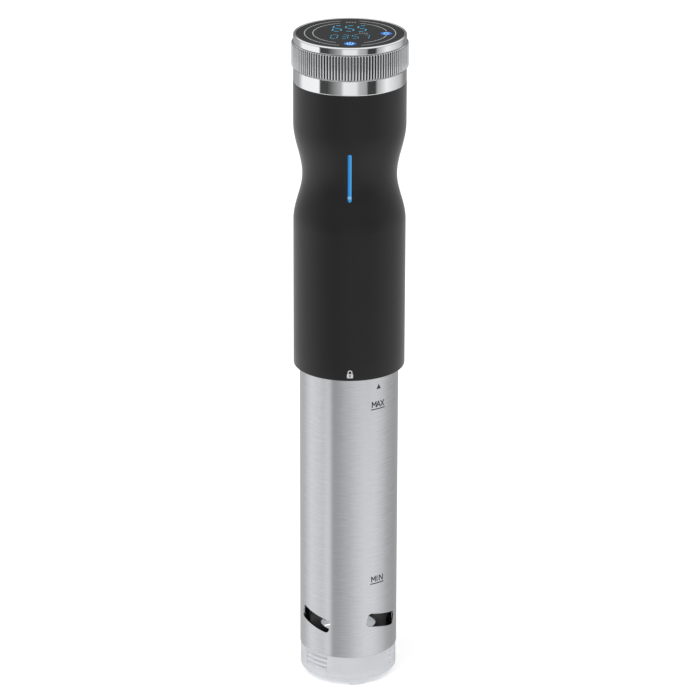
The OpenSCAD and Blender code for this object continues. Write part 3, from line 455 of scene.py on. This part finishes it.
def roundSkin(piece):
    # Faces that look straight out or in get the cylinder's own normal, so cuts leave no ripple.
    mesh = piece.data
    loops = np.zeros(len(mesh.loops) * 3)
    mesh.corner_normals.foreach_get("vector", loops)
    loops = loops.reshape(-1, 3)
    vertex = np.zeros(len(mesh.loops), int)
    mesh.loops.foreach_get("vertex_index", vertex)
    place = np.zeros(len(mesh.vertices) * 3)
    mesh.vertices.foreach_get("co", place)
    out = place.reshape(-1, 3)[vertex] * (1, 1, 0)
    out /= np.maximum(np.linalg.norm(out, axis=1), 1e-9)[:, None]
    facesOut = (loops * out).sum(1)
    skin = np.abs(facesOut) > 0.97
    loops[skin] = out[skin] * np.sign(facesOut[skin])[:, None]
    mesh.normals_split_custom_set(loops.tolist())


def softened(node, body, finish, width):
    # A merged copy of the CAD solid with flat faces joined, then a small bevel:
    # moulded edges are never sharp.
    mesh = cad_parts[node].data.copy()
    mesh.name = node + "Soft"
    piece = bpy.data.objects.new(node + "Soft", mesh)
    bpy.context.scene.collection.objects.link(piece)
    tidyMesh(mesh, math.radians(0.5))
    return finishPiece(piece, body, finish, (node,), bevel=width)


def edges(node):  # lowest and highest corner of a CAD node, in mm
    low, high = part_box(node)
    return np.array(low) / mm, np.array(high) / mm


view = {"place": (0.0, -1.961, 0.9355), "pitch": 20.71, "roll": 0.175, "lens": 189.9,
        "shift": (0.0013, 0.0071)}
camera = bpy.data.objects.new("camera", bpy.data.cameras.new("camera"))
camera.data.lens, camera.data.sensor_width = view["lens"], 36
camera.data.shift_x, camera.data.shift_y = view["shift"]
camera.matrix_world = (Matrix.Translation(view["place"])
                       @ Matrix.Rotation(math.radians(90 - view["pitch"]), 4, "X")
                       @ Matrix.Rotation(math.radians(view["roll"]), 4, "Z"))
bpy.context.scene.collection.objects.link(camera)
bpy.context.scene.camera = camera
bpy.context.scene.view_settings.view_transform = "Standard"

# Studio: soft boxes and dark flags stand round the object, told by their direction from the front in degrees.
studio = {
    "chromeBand": [(-180, 0.3), (-126, 0.42), (-111, 0.95), (-66, 1.0), (-62, 0.06), (-46, 0.06), (-38, 0.15),
                   (-18, 0.45), (-12, 0.88), (12, 0.85), (19, 0.52), (34, 0.36), (37, 0.05), (53, 0.05),
                   (58, 0.42), (80, 0.93), (122, 0.55), (140, 0.25), (180, 0.3)],
    "steelBand": [(-180, 0.5), (-130, 0.62), (-100, 0.94), (-64, 0.8), (-50, 0.97), (-44, 0.85), (-38, 0.46),
                  (-22, 0.5), (0, 0.62), (20, 0.82), (40, 0.95), (62, 0.93), (85, 0.74), (105, 0.54),
                  (130, 0.45), (180, 0.45)],
    "upperBand": [(-180, 0.2), (-120, 0.34), (-60, 0.3), (0, 0.22), (60, 0.3), (120, 0.3), (180, 0.2)],
    "fill": 0.9, "key": 32.0, "rim": 14.0}
world = bpy.data.worlds.new("studio")
bpy.context.scene.world = world
world.use_nodes = True
world.cycles.sampling_method = "NONE"
tree = world.node_tree
tree.nodes.clear()
way = addNode(tree, "ShaderNodeSeparateXYZ", {},
              {0: addNode(tree, "ShaderNodeTexCoord").outputs["Generated"]})
front = addNode(tree, "ShaderNodeMath", {"operation": "MULTIPLY"}, {0: way.outputs[1], 1: -1.0})
angle = addNode(tree, "ShaderNodeMath", {"operation": "ARCTAN2"}, {0: way.outputs[0], 1: front.outputs[0]})
angle = addNode(tree, "ShaderNodeMath", {"operation": "MULTIPLY_ADD"},
                {0: angle.outputs[0], 1: 1 / turn, 2: 0.5})
bands = {}
for band in ("chromeBand", "steelBand", "upperBand"):
    stops = [(0.5 + degrees / 360, shade) for degrees, shade in studio[band]]
    stops = [stops[0], stops[-1]] + stops[1:-1]
    bands[band] = addNode(tree, "ShaderNodeValToRGB", {"stops": stops}, {0: angle.outputs[0]}).outputs[0]
rise = addNode(tree, "ShaderNodeMapRange", {}, {0: way.outputs[2], 1: -0.33, 2: -0.322})
lower = addNode(tree, "ShaderNodeMix", {"data_type": "RGBA"},
                {0: rise.outputs[0], 6: bands["steelBand"], 7: bands["chromeBand"]})
rise = addNode(tree, "ShaderNodeMapRange", {}, {0: way.outputs[2], 1: -0.06, 2: 0.05})
whole = addNode(tree, "ShaderNodeMix", {"data_type": "RGBA"},
                {0: rise.outputs[0], 6: lower.outputs[2], 7: bands["upperBand"]})
rise = addNode(tree, "ShaderNodeMapRange", {}, {0: way.outputs[2], 1: 0.32, 2: 0.42})
whole = addNode(tree, "ShaderNodeMix", {"data_type": "RGBA"},
                {0: rise.outputs[0], 6: whole.outputs[2], 7: (0.95, 0.95, 0.95, 1)})
seen = addNode(tree, "ShaderNodeLightPath")
fill = studio["fill"]
picked = addNode(tree, "ShaderNodeMix", {"data_type": "RGBA"},
                 {0: seen.outputs["Is Glossy Ray"], 6: (fill, fill, fill, 1), 7: whole.outputs[2]})
sky = addNode(tree, "ShaderNodeBackground", {}, {"Color": picked.outputs[2], "Strength": 1.0})
addNode(tree, "ShaderNodeOutputWorld", {}, {"Surface": sky.outputs[0]})

for name, place, size, power in (("keyLight", (-1.4, -1.3, 2.4), 1.8, studio["key"]),
                                 ("rimLight", (1.6, 0.4, 2.2), 1.6, studio["rim"])):
    lamp = bpy.data.lights.new(name, "AREA")
    lamp.size, lamp.energy = size, power
    holder = bpy.data.objects.new(name, lamp)
    aim = Matrix.Translation(place).to_translation() - Matrix.Translation((0, 0, 0.15)).to_translation()
    holder.matrix_world = Matrix.Translation(place) @ aim.to_track_quat("Z", "Y").to_matrix().to_4x4()
    holder.visible_glossy = False
    bpy.context.scene.collection.objects.link(holder)

# Seamless pale backdrop paper: flat, with the faintest mottle
paper = makeFinish("backdropPaper", "#f7f7f7", 0.9, sockets={"Specular IOR Level": 0.1,
                   "Emission Color": "#ffffff", "Emission Strength": 0.12},
                   grains=[{"size": (60, 60, 60), "shade": 0.004}])
span = np.linspace(-9000, 9000, 5)
ground = np.stack(np.meshgrid(span, span, [-0.15], indexing="ij"), -1).reshape(-1, 3)
floor = makeObject("floor", [(ground, gridFaces(5, 5, False, False))])
floor.data.materials.append(paper)
floor.visible_glossy = False
print("stage: camera, light and floor made")


handle = {"wall": 2.4, "edge": 0.8, "mouth": 28.5, "ledge": 26.5, "ledgeRise": 16.5, "ledgeThick": 3.0,
          "waistRise": 112.6, "waistDepth": 5.0, "waistBelow": 27.0, "waistAbove": 30.0}
handleLow, handleHigh = edges("handle_housing")
handleR, handleZ, handleTop = handleHigh[0], handleLow[2], handleHigh[2]
waistZ = handleZ + handle["waistRise"]


def handleRadius(z):
    # The straight radius less a cosine dip: depth * (1 + cos(180 * share of the way out)) / 2.
    half = np.where(z < waistZ, handle["waistBelow"], handle["waistAbove"])
    share = np.minimum(1, np.abs(z - waistZ) / half)
    return handleR - handle["waistDepth"] * (1 + np.cos(math.pi * share)) / 2


def handleProfile():
    a = np.linspace(0, math.pi / 2, 7)
    edge, wall = handle["edge"], handle["wall"]
    rows = np.concatenate([np.linspace(handleZ + edge, waistZ - handle["waistBelow"], 8)[1:-1],
                           np.arange(waistZ - handle["waistBelow"], waistZ + handle["waistAbove"], 1.5),
                           [waistZ + handle["waistAbove"], 345, handleTop - 0.3]])
    low = np.stack([handleR - edge * (1 - np.sin(a)), handleZ + edge * (1 - np.cos(a))], -1)
    out = np.stack([handleRadius(rows), rows], -1)
    ledgeZ = handleZ + handle["ledgeRise"]
    inner = np.stack([handleRadius(rows) - wall, rows], -1)[rows > ledgeZ + 6][::-1]
    ledgeTop = ledgeZ + handle["ledgeThick"]
    inside = [(handleR - wall, ledgeTop), (handle["ledge"], ledgeTop), (handle["ledge"], ledgeZ),
              (handle["mouth"], ledgeZ), (handle["mouth"], handleZ + 0.4),
              (handle["mouth"] + 0.4, handleZ)]
    top = [(handleR - 0.3, handleTop), (handleR - wall, handleTop)]
    return np.concatenate([low, out, top, inner, inside])


barLow, barHigh = edges("light_bar")
bar = {"width": barHigh[0] - barLow[0], "length": barHigh[2] - barLow[2], "gap": 0.1, "proud": 0.12}
barZ = (barLow[2] + barHigh[2]) / 2
inletLow, inletHigh = edges("cord_gland")
inletZ = (inletLow[2] + inletHigh[2]) / 2
shell = makeObject("handleShell", [lathe(handleProfile(), 160)])
slot = stadium(bar["width"] + bar["gap"], bar["length"] + bar["gap"])
carve(shell, [prism(slot, 20, 34, facing(0, barZ)),
              lathe([(0, 20), (6.05, 20), (6.05, 34), (0, 34)], 48, False, (0, 0, inletZ), "y")])
finishPiece(shell, "handle", softTouch, ("handle_housing",))


def onHandle(lift=0.0):  # u across, v up and w above the waisted skin, on the front
    def place(u, v, w):
        z = v + barZ
        return np.stack([u, -np.sqrt((handleRadius(z) + lift) ** 2 - u ** 2) - w, z], -1)
    return place


def insetBar(inset):
    return stadium(bar["width"] - 2 * inset, bar["length"] - 2 * inset, 40)


rings = [(insetBar(bar["width"] / 2), -2.4), (insetBar(0), -2.4), (insetBar(0), 0.0), (insetBar(0.06), 0.06),
         (insetBar(0.2), 0.1), (insetBar(0.5), bar["proud"]), (insetBar(bar["width"] / 2), bar["proud"])]
finishPiece(makeObject("lightBar", [stack(rings, onHandle())]), "handle", lightAcrylic,
            ("light_bar",), 60)

# Padlock: a body with a keyhole and a shackle, printed above the twist arrow
lock = {"angle": 1.0, "height": 193.3, "width": 3.4, "bodyHigh": 2.5, "print": 0.05, "line": 0.55}
onSkin = wrapped(handleR, lock["angle"], lock["height"])
lockBody = prism(roundedBox(lock["width"], lock["bodyHigh"], 0.4), 0.0, lock["print"], onSkin)
shackle = np.concatenate([[(-1.05, 1.2)], arc((0, 2.1), 1.05, 180, 0), [(1.05, 1.2)]])
shackleLine = ribbons([shackle], lock["line"], lock["print"], onSkin, 0.2)
finishPiece(makeObject("padlockPrint", [lockBody] + shackleLine), "handle", screenInk)
keyhole = [prism(arc((0, 0.2), 0.42, 0, 345, 24), 0.0, 0.09, onSkin)]
keyhole += ribbons([[(0, 0.1), (0, -0.75)]], 0.36, 0.09, onSkin)
finishPiece(makeObject("padlockKeyhole", keyhole), "handle", softTouch)
print("stage: handle made")


neckLow, neckHigh = edges("neck_ring")
bezelLow, bezelHigh = edges("bezel_ring")
dialLow, dialHigh = edges("dial_ring")
glassLow, glassHigh = edges("touch_glass")
head = {"shoulder": 27.7, "plug": 29.0, "neckEdge": 0.25, "lip": 0.95, "inner": 29.8, "ribs": 120, "rib": 0.7,
        "dialIn": 28.5, "ribStart": 0.15, "ribEnd": 0.8}
neckR, skirtZ = bezelHigh[0], handleTop
cut = head["neckEdge"]
neck = roundedLoop([(head["shoulder"], neckLow[2], 0), (head["plug"], neckLow[2], 0.2),
                    (head["plug"], skirtZ, 0), (neckR, skirtZ, cut), (neckR, skirtZ + 0.5, 0),
                    (neckR, neckHigh[2] - 0.5, 0),
                    (neckR, neckHigh[2], cut), (head["shoulder"], neckHigh[2], 0)])
finishPiece(makeObject("neckRing", [lathe(neck, 256)]), "handle", mirrorChrome,
            ("neck_ring",))
bezel = roundedLoop([(head["shoulder"], bezelLow[2], 0), (neckR, bezelLow[2], 0.3),
                     (neckR, bezelLow[2] + 0.6, 0), (neckR, bezelHigh[2] - head["lip"] - 0.3, 0),
                     (neckR, bezelHigh[2], head["lip"]), (head["inner"], bezelHigh[2], 0.25),
                     (head["inner"], bezelLow[2] + 2.3, 0), (head["shoulder"], bezelLow[2] + 2.3, 0)], 9)
finishPiece(makeObject("bezelRing", [lathe(bezel, 256)]), "handle", mirrorChrome,
            ("bezel_ring",))
glassR, glassTop = glassHigh[0], glassHigh[2]
disc = [(0, glassLow[2]), (glassR - 0.1, glassLow[2]), (glassR, glassLow[2] + 0.1), (glassR, glassTop - 0.2),
        (glassR - 0.06, glassTop - 0.06), (glassR - 0.2, glassTop), (glassR - 0.6, glassTop), (0, glassTop)]
finishPiece(makeObject("touchGlass", [lathe(disc, 192, False)]), "handle", blackGlass,
            ("touch_glass",), 20)


def dialSurface():
    # Radius = base + rib height * across * along: across is a round-backed rib over part of each pitch,
    # along rises as a quarter circle near both ends of the dial, so every rib ends in a soft nose.
    base, low, high = dialHigh[0] - head["rib"], dialLow[2], dialHigh[2]
    phase = np.array([0.0, 0.1, 0.19, 0.24, 0.34, 0.46, 0.54, 0.66, 0.76, 0.81])
    across = np.clip(1 - ((phase - 0.5) / 0.31) ** 2, 0, 1) ** 0.42
    a = (np.arange(head["ribs"])[:, None] + phase[None] - 0.5).ravel() * turn / head["ribs"]
    across = np.tile(across, head["ribs"])
    nose = np.array([0.0, 0.1, 0.3, 0.6, 1.0])
    near = head["ribStart"] + nose * (head["ribEnd"] - head["ribStart"])
    share = np.sqrt(1 - (1 - nose) ** 2)
    h = np.concatenate([[0.0, 0.35], near, (high - low) - near[::-1], [high - low - 0.35, high - low]])
    along = np.concatenate([[0, 0], share, share[::-1], [0, 0]])
    r = base + head["rib"] * along[:, None] * across[None, :]
    r[[0, -1]] -= 0.35
    bore = np.full((2, len(a)), head["dialIn"])
    r, h = np.concatenate([r, bore]), np.concatenate([h, [high - low, 0.0]])[:, None] + low
    points = np.stack([r * np.sin(a), -r * np.cos(a), h + 0 * r], -1).reshape(-1, 3)
    return points, gridFaces(len(r), len(a), True)


finishPiece(makeObject("dialRing", [dialSurface()]), "dial", satinChrome, ("dial_ring",), 50)


signs = {"lift": 0.02, "slant": 0.1, "big": "655", "bigBox": (-9.9, 3.6, 4.6, 11.4, 6.8), "bigLine": 0.85,
         "small": "0357", "smallBox": (-10.9, -11.3, 3.5, 7.8, 5.8), "smallLine": 0.5,
         "outer": 25.1, "inner": 20.5, "ringLine": 0.34}
segments = {"0": "abcdef", "3": "abcdg", "5": "acdfg", "6": "acdefg", "7": "abc"}


def onGlass(u, v, w):
    return np.stack([u, v, glassTop + signs["lift"] + w], -1)


def numeral(sign, x, y, width, height):  # seven bars a..g inside a box, leaning right with height
    gap = 0.09 * height
    w, m = width, height / 2
    bars = {"a": ((gap, height), (w - gap, height)), "b": ((w, height - gap), (w, m + gap)),
            "c": ((w, m - gap), (w, gap)), "d": ((gap, 0), (w - gap, 0)), "e": ((0, m - gap), (0, gap)),
            "f": ((0, height - gap), (0, m + gap)), "g": ((gap, m), (w - gap, m))}
    return [[(x + u + signs["slant"] * v, y + v) for u, v in bars[s]] for s in segments[sign]]


strokes = {"big": [], "small": []}
for size in ("big", "small"):
    left, base, width, height, pitch = signs[size + "Box"]
    for n, sign in enumerate(signs[size]):
        strokes[size] += numeral(sign, left + n * pitch, base, width, height)
digits = ribbons(strokes["big"], signs["bigLine"], 0.02, onGlass)
digits += ribbons(strokes["small"], signs["smallLine"], 0.02, onGlass)
finishPiece(makeObject("litDigits", digits), "handle", litDigits)
circles = [arc((0, 0), signs["outer"], -76, 78, 90), arc((0, 0), signs["outer"], 102, 256, 90),
           arc((0, 0), signs["inner"], -68, -11, 50), arc((0, 0), signs["inner"], 11, 74, 50),
           arc((0, 0), signs["inner"], 106, 248, 90)]
dashes = [[(x, 21.8), (x + 0.9, 21.8)] for x in (-2.2, -0.7, 0.8, 2.3)]
dashes += [[(x, -0.2), (x + 0.8, -0.2)] for x in (5.0, 6.3, 7.6, 8.9)]
finishPiece(makeObject("glassPrint", ribbons(circles, signs["ringLine"], 0.02, onGlass)
                       + ribbons(dashes, 0.6, 0.02, onGlass)), "handle", screenInk)
keys = {"power": (0.0, -21.2, 3.4), "mode": (19.9, -0.6, 3.2)}
discs, marks = [], []
for x, y, r in keys.values():
    discs.append(prism(arc((x, y), r, 0, 352.5, 48), 0.0, 0.015, onGlass))
x, y, r = keys["power"]
marks += [arc((x, y), 0.5 * r, 125, 415, 30), [(x, y + 0.05), (x, y + 0.75 * r)]]
x, y, r = keys["mode"]
marks += [arc((x, y), 0.48 * r, 20, 160, 16), arc((x, y), 0.48 * r, 200, 340, 16)]
finishPiece(makeObject("keyLights", discs), "handle", litKey)
finishPiece(makeObject("keySigns", ribbons(marks, 0.6, 0.05, onGlass, 0.3)), "handle", litSign)
print("stage: head made")


sleeveLow, sleeveHigh = edges("sleeve_tube")
sleeve = {"wall": 0.8, "slotRise": 20.6, "slotLong": 21.7, "slotHigh": 8.1, "slotCorner": 2.4,
          "slotSlant": -13, "slotFirst": 45,
          "dentFirst": 46, "dentZ": 182.0, "dentDeep": 0.3, "dentWide": 2.3}
sleeveR = sleeveHigh[0]


def sleeveSurface(steps=360):
    # Radius = sleeve radius less depth * (1 - (distance / width)^2)^2 inside each dimple;
    # the inner wall follows.
    a = np.arange(steps) * turn / steps
    low, high = sleeveLow[2], sleeveHigh[2]
    rows = np.concatenate([[low + 0.15], np.linspace(low + 6, 172, 26),
                           sleeve["dentZ"] + np.linspace(-3.2, 3.2, 17), [190, high - 0.15]])
    z = np.concatenate([[low], rows, [high, high], rows[::-1], [low]])
    r = np.concatenate([[sleeveR - 0.15], np.full(len(rows), sleeveR), [sleeveR - 0.15],
                        [sleeveR - sleeve["wall"] + 0.1], np.full(len(rows), sleeveR - sleeve["wall"]),
                        [sleeveR - sleeve["wall"] + 0.1]])
    first = math.radians(sleeve["dentFirst"])
    off = (a - first + turn / 8) % (turn / 4) - turn / 8
    far = np.hypot(off[None] * sleeveR, z[:, None] - sleeve["dentZ"]) / sleeve["dentWide"]
    r = r[:, None] - sleeve["dentDeep"] * np.clip(1 - far ** 2, 0, 1) ** 2
    points = np.stack([r * np.sin(a), -r * np.cos(a), z[:, None] + 0 * r], -1).reshape(-1, 3)
    return points, gridFaces(len(z), steps, True)


tube = makeObject("sleeveTube", [sleeveSurface()])
slotShape = roundedBox(sleeve["slotLong"], sleeve["slotHigh"], sleeve["slotCorner"], sleeve["slotSlant"], 9)
carve(tube, [prism(slotShape, 18, 32, facing(sleeve["slotFirst"] + 90 * k, sleeveLow[2] + sleeve["slotRise"]))
             for k in range(4)])
finishPiece(tube, "sleeve", brushedSteel, ("sleeve_tube",), 30)
roundSkin(tube)

# Level marks, etched dark: plain letters made of strokes in a box one unit wide and one high
letters = {"M": [[(0, 0), (0, 1), (0.5, 0.35), (1, 1), (1, 0)]], "A": [[(0, 0), (0.5, 1), (1, 0)],
           [(0.2, 0.35), (0.8, 0.35)]], "X": [[(0, 0), (1, 1)], [(0, 1), (1, 0)]], "I": [[(0, 0), (0, 1)]],
           "N": [[(0, 0), (0, 1), (1, 0), (1, 1)]]}
marksAt = {"angle": 36.4, "high": 3.6, "wide": 2.5, "line": 0.62, "thick": 0.04,
           "MAX": (170.4, (-4.1, -1.25, 1.6)), "MIN": (62.8, (-3.9, -0.25, 1.35))}
etched = []
for word in ("MAX", "MIN"):
    height, starts = marksAt[word]
    onSleeve = wrapped(sleeveR, marksAt["angle"], height)
    lines = [[(-4.75, 0), (4.75, 0)]]
    for letter, start in zip(word, starts):
        lines += [[(start + u * marksAt["wide"], 1.1 + v * marksAt["high"]) for u, v in line]
                  for line in letters[letter]]
    etched += ribbons(lines, marksAt["line"], marksAt["thick"], onSleeve)
arrow = np.array([(-1.5, 0.0), (-0.5, 0.0), (0.5, 0.0), (1.5, 0.0), (0.75, 1.45), (0.0, 2.9), (-0.75, 1.45)])
etched.append(prism(arrow, 0.0, marksAt["thick"], wrapped(sleeveR, 36.7, 182.4)))
finishPiece(makeObject("levelMarks", etched), "sleeve", etchInk)
print("stage: sleeve made")


softened("base_cap", "cap", frosted, 0.22)
softened("cap_feet", "cap", frosted, 0.25)


gland = {"hole": 3.6, "body": 6.0, "flange": 8.0, "grooves": 3}
backY, noseY = 22.0, inletHigh[1]
glandLoop = [(gland["hole"], backY, 0), (gland["body"], backY, 0.4), (gland["body"], handleR - 1.2, 0),
             (gland["flange"], handleR - 1.2, 0), (gland["flange"], handleR + 2, 0.6),
             (gland["body"], handleR + 2, 0.3)]
for k in range(gland["grooves"]):  # shallow grooves let the nose bend with the cord
    y = handleR + 3.2 + 1.7 * k
    glandLoop += [(gland["body"], y, 0.1), (gland["body"] - 0.7, y, 0.1), (gland["body"] - 0.7, y + 0.8, 0.1),
                  (gland["body"], y + 0.8, 0.1)]
glandLoop += [(gland["body"], noseY, 0.9), (gland["hole"], noseY, 0.6)]
finishPiece(makeObject("cordGland", [lathe(roundedLoop(glandLoop), 96, True, (0, 0, inletZ), "y")]), "handle",
            glassNylon, ("cord_gland",))

softParts = [("clip_bracket", "handle", "black_nylon", glassNylon, 0.5),
             ("clip_lever", "clip", "black_nylon", glassNylon, 0.5),
             ("clip_pad", "clip", "black_silicone", blackSilicone, 0.3),
             ("bulkhead", "handle", "black_nylon", glassNylon, 0.35),
             ("twist_collar", "collar", "grey_nylon", greyNylon, 0.3),
             ("pump_cage", "handle", "black_nylon", glassNylon, 0.3),
             ("impeller", "rotor", "black_nylon", glassNylon, 0.25)]
for node, body, slotName, finish, width in softParts:
    softened(node, body, finish, width)

pinLow, pinHigh = edges("clip_pin")
pinY, pinZ, pinR = (pinLow[1] + pinHigh[1]) / 2, (pinLow[2] + pinHigh[2]) / 2, (pinHigh[2] - pinLow[2]) / 2
half = pinHigh[0]
rod = [(0, -half), (pinR - 0.4, -half), (pinR, 0.4 - half), (pinR, half - 0.4), (pinR - 0.4, half), (0, half)]
finishPiece(makeObject("clipPin", [lathe(rod, 48, False, (0, pinY, pinZ), "x")]), "handle",
            zincSteel, ("clip_pin",))

spring = {"turns": 3.5, "coil": pinR + 1.3, "pitch": 1.3, "wire": 0.5, "leg": 10.0}
t = np.linspace(0, 1, 141)
wind = np.radians(90 + 360 * spring["turns"] * t)
coil = np.stack([(t - 0.5) * spring["turns"] * spring["pitch"], pinY + spring["coil"] * np.sin(wind),
                 pinZ + spring["coil"] * np.cos(wind)], -1)
legs = np.linspace(1, 0.1, 8)[:, None] * (0, 0, spring["leg"])
plateY = handleR + 3 + spring["wire"] + 0.1
toPin = (0, 0, spring["leg"]) + np.array((0, plateY, pinZ)) - coil[-1] * (0, 1, 1)
tail = coil[-1] + np.linspace(0.1, 1, 8)[:, None] * toPin
path = np.concatenate([coil[0] + legs, coil, tail])
ends = [(x * mm, pinY * mm, pinZ * mm) for x in (coil[-1][0], coil[0][0])]
finishPiece(makeObject("clipSpring", [sweep(path, spring["wire"], 14, (1, 0, 0))]), ("handle", "clip", *ends),
            springSteel, ("clip_spring",))

heaterLow, heaterHigh = edges("heater_tube")
heater = {"radius": 3.25, "reach": 15.0}
bend = heater["reach"] * math.sin(math.radians(45))
lowZ, topZ = heaterLow[2] + heater["radius"] + bend, heaterHigh[2]
upZ = 164.1 - 12 - bend
a = np.linspace(0, math.pi, 25)[:, None]
under = np.concatenate([bend * np.cos(a), 0 * a, lowZ - bend * np.sin(a)], 1)
over = np.concatenate([0 * a - bend, -bend * np.cos(a), upZ + bend * np.sin(a)], 1)
path = np.concatenate([[(bend, -bend, topZ)], [(bend, -bend, lowZ + 1)], under + (0, -bend, 0),
                       [(-bend, -bend, lowZ + 1)], [(-bend, -bend, upZ - 1)], over, [(-bend, bend, upZ - 1)],
                       [(-bend, bend, lowZ + 1)], under[::-1] + (0, bend, 0), [(bend, bend, lowZ + 1)],
                       [(bend, bend, topZ)]])
finishPiece(makeObject("heaterTube", [sweep(path, heater["radius"] - 0.01, 32, (0.7, 0.72, 0))]), "handle",
            heaterSheath, ("heater_tube",), 60)

probeLow, probeHigh = edges("temperature_probe")
probeX, probeR = (probeLow[0] + probeHigh[0]) / 2, (probeHigh[0] - probeLow[0]) / 2
tip = arc((0, probeLow[2] + probeR), probeR, -90, 0, 12)
probe = np.concatenate([tip, [(probeR, probeHigh[2]), (0, probeHigh[2])]])
finishPiece(makeObject("temperatureProbe", [lathe(probe, 40, False, (probeX, 0, 0))]), "handle",
            polishedSteel, ("temperature_probe",))
rodLow, rodHigh = edges("level_rods")
rodR = 1.5
rods = []
for y, lift in ((-3.2, 0.0), (3.2, 20.0)):
    z = rodLow[2] + lift
    line = [(0, z), (rodR - 0.3, z), (rodR, z + 0.3), (rodR, rodHigh[2] - 0.3), (rodR - 0.3, rodHigh[2]),
            (0, rodHigh[2])]
    rods.append(lathe(line, 32, False, ((rodLow[0] + rodHigh[0]) / 2, y, 0)))
finishPiece(makeObject("levelRods", rods), "handle", polishedSteel, ("level_rods",))

# CAD solids that keep their own shape
kept = {"light_board": greenBoard, "neck_seal": blackSilicone, "glide_ring": acetal,
        "display_carrier": blackAbs, "display_board": greenBoard, "digit_display": displayBlock,
        "touch_pads": foam, "gland_nut": zincSteel,
        "bulkhead_seal": blackSilicone, "bulkhead_screws": zincSteel, "shaft_seal": redSilicone,
        "motor_mount": blackAbs, "motor_case": zincSteel, "motor_stator": copperWire, "board_frame": blackAbs,
        "power_board": greenBoard, "board_capacitor": capSleeve, "board_relay": blueCase,
        "board_transformer": windingTape, "heat_sink": castAluminium, "ribbon_cable": ribbonGrey,
        "thermal_fuse": ceramic, "shaft_tube": polishedSteel, "shaft_bearings": bronze,
        "bracket_screws": zincSteel, "dial_magnets": magnetNickel, "drive_shaft": polishedSteel,
        "motor_rotor": rotorIron, "cap_seal": clearSilicone}
for node, finish in kept.items():
    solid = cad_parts[node]
    if not solid.material_slots:
        solid.data.materials.append(finish)
    for materialSlot in solid.material_slots:
        materialSlot.material = finish
print("stage: clip, inlet and inner works made")
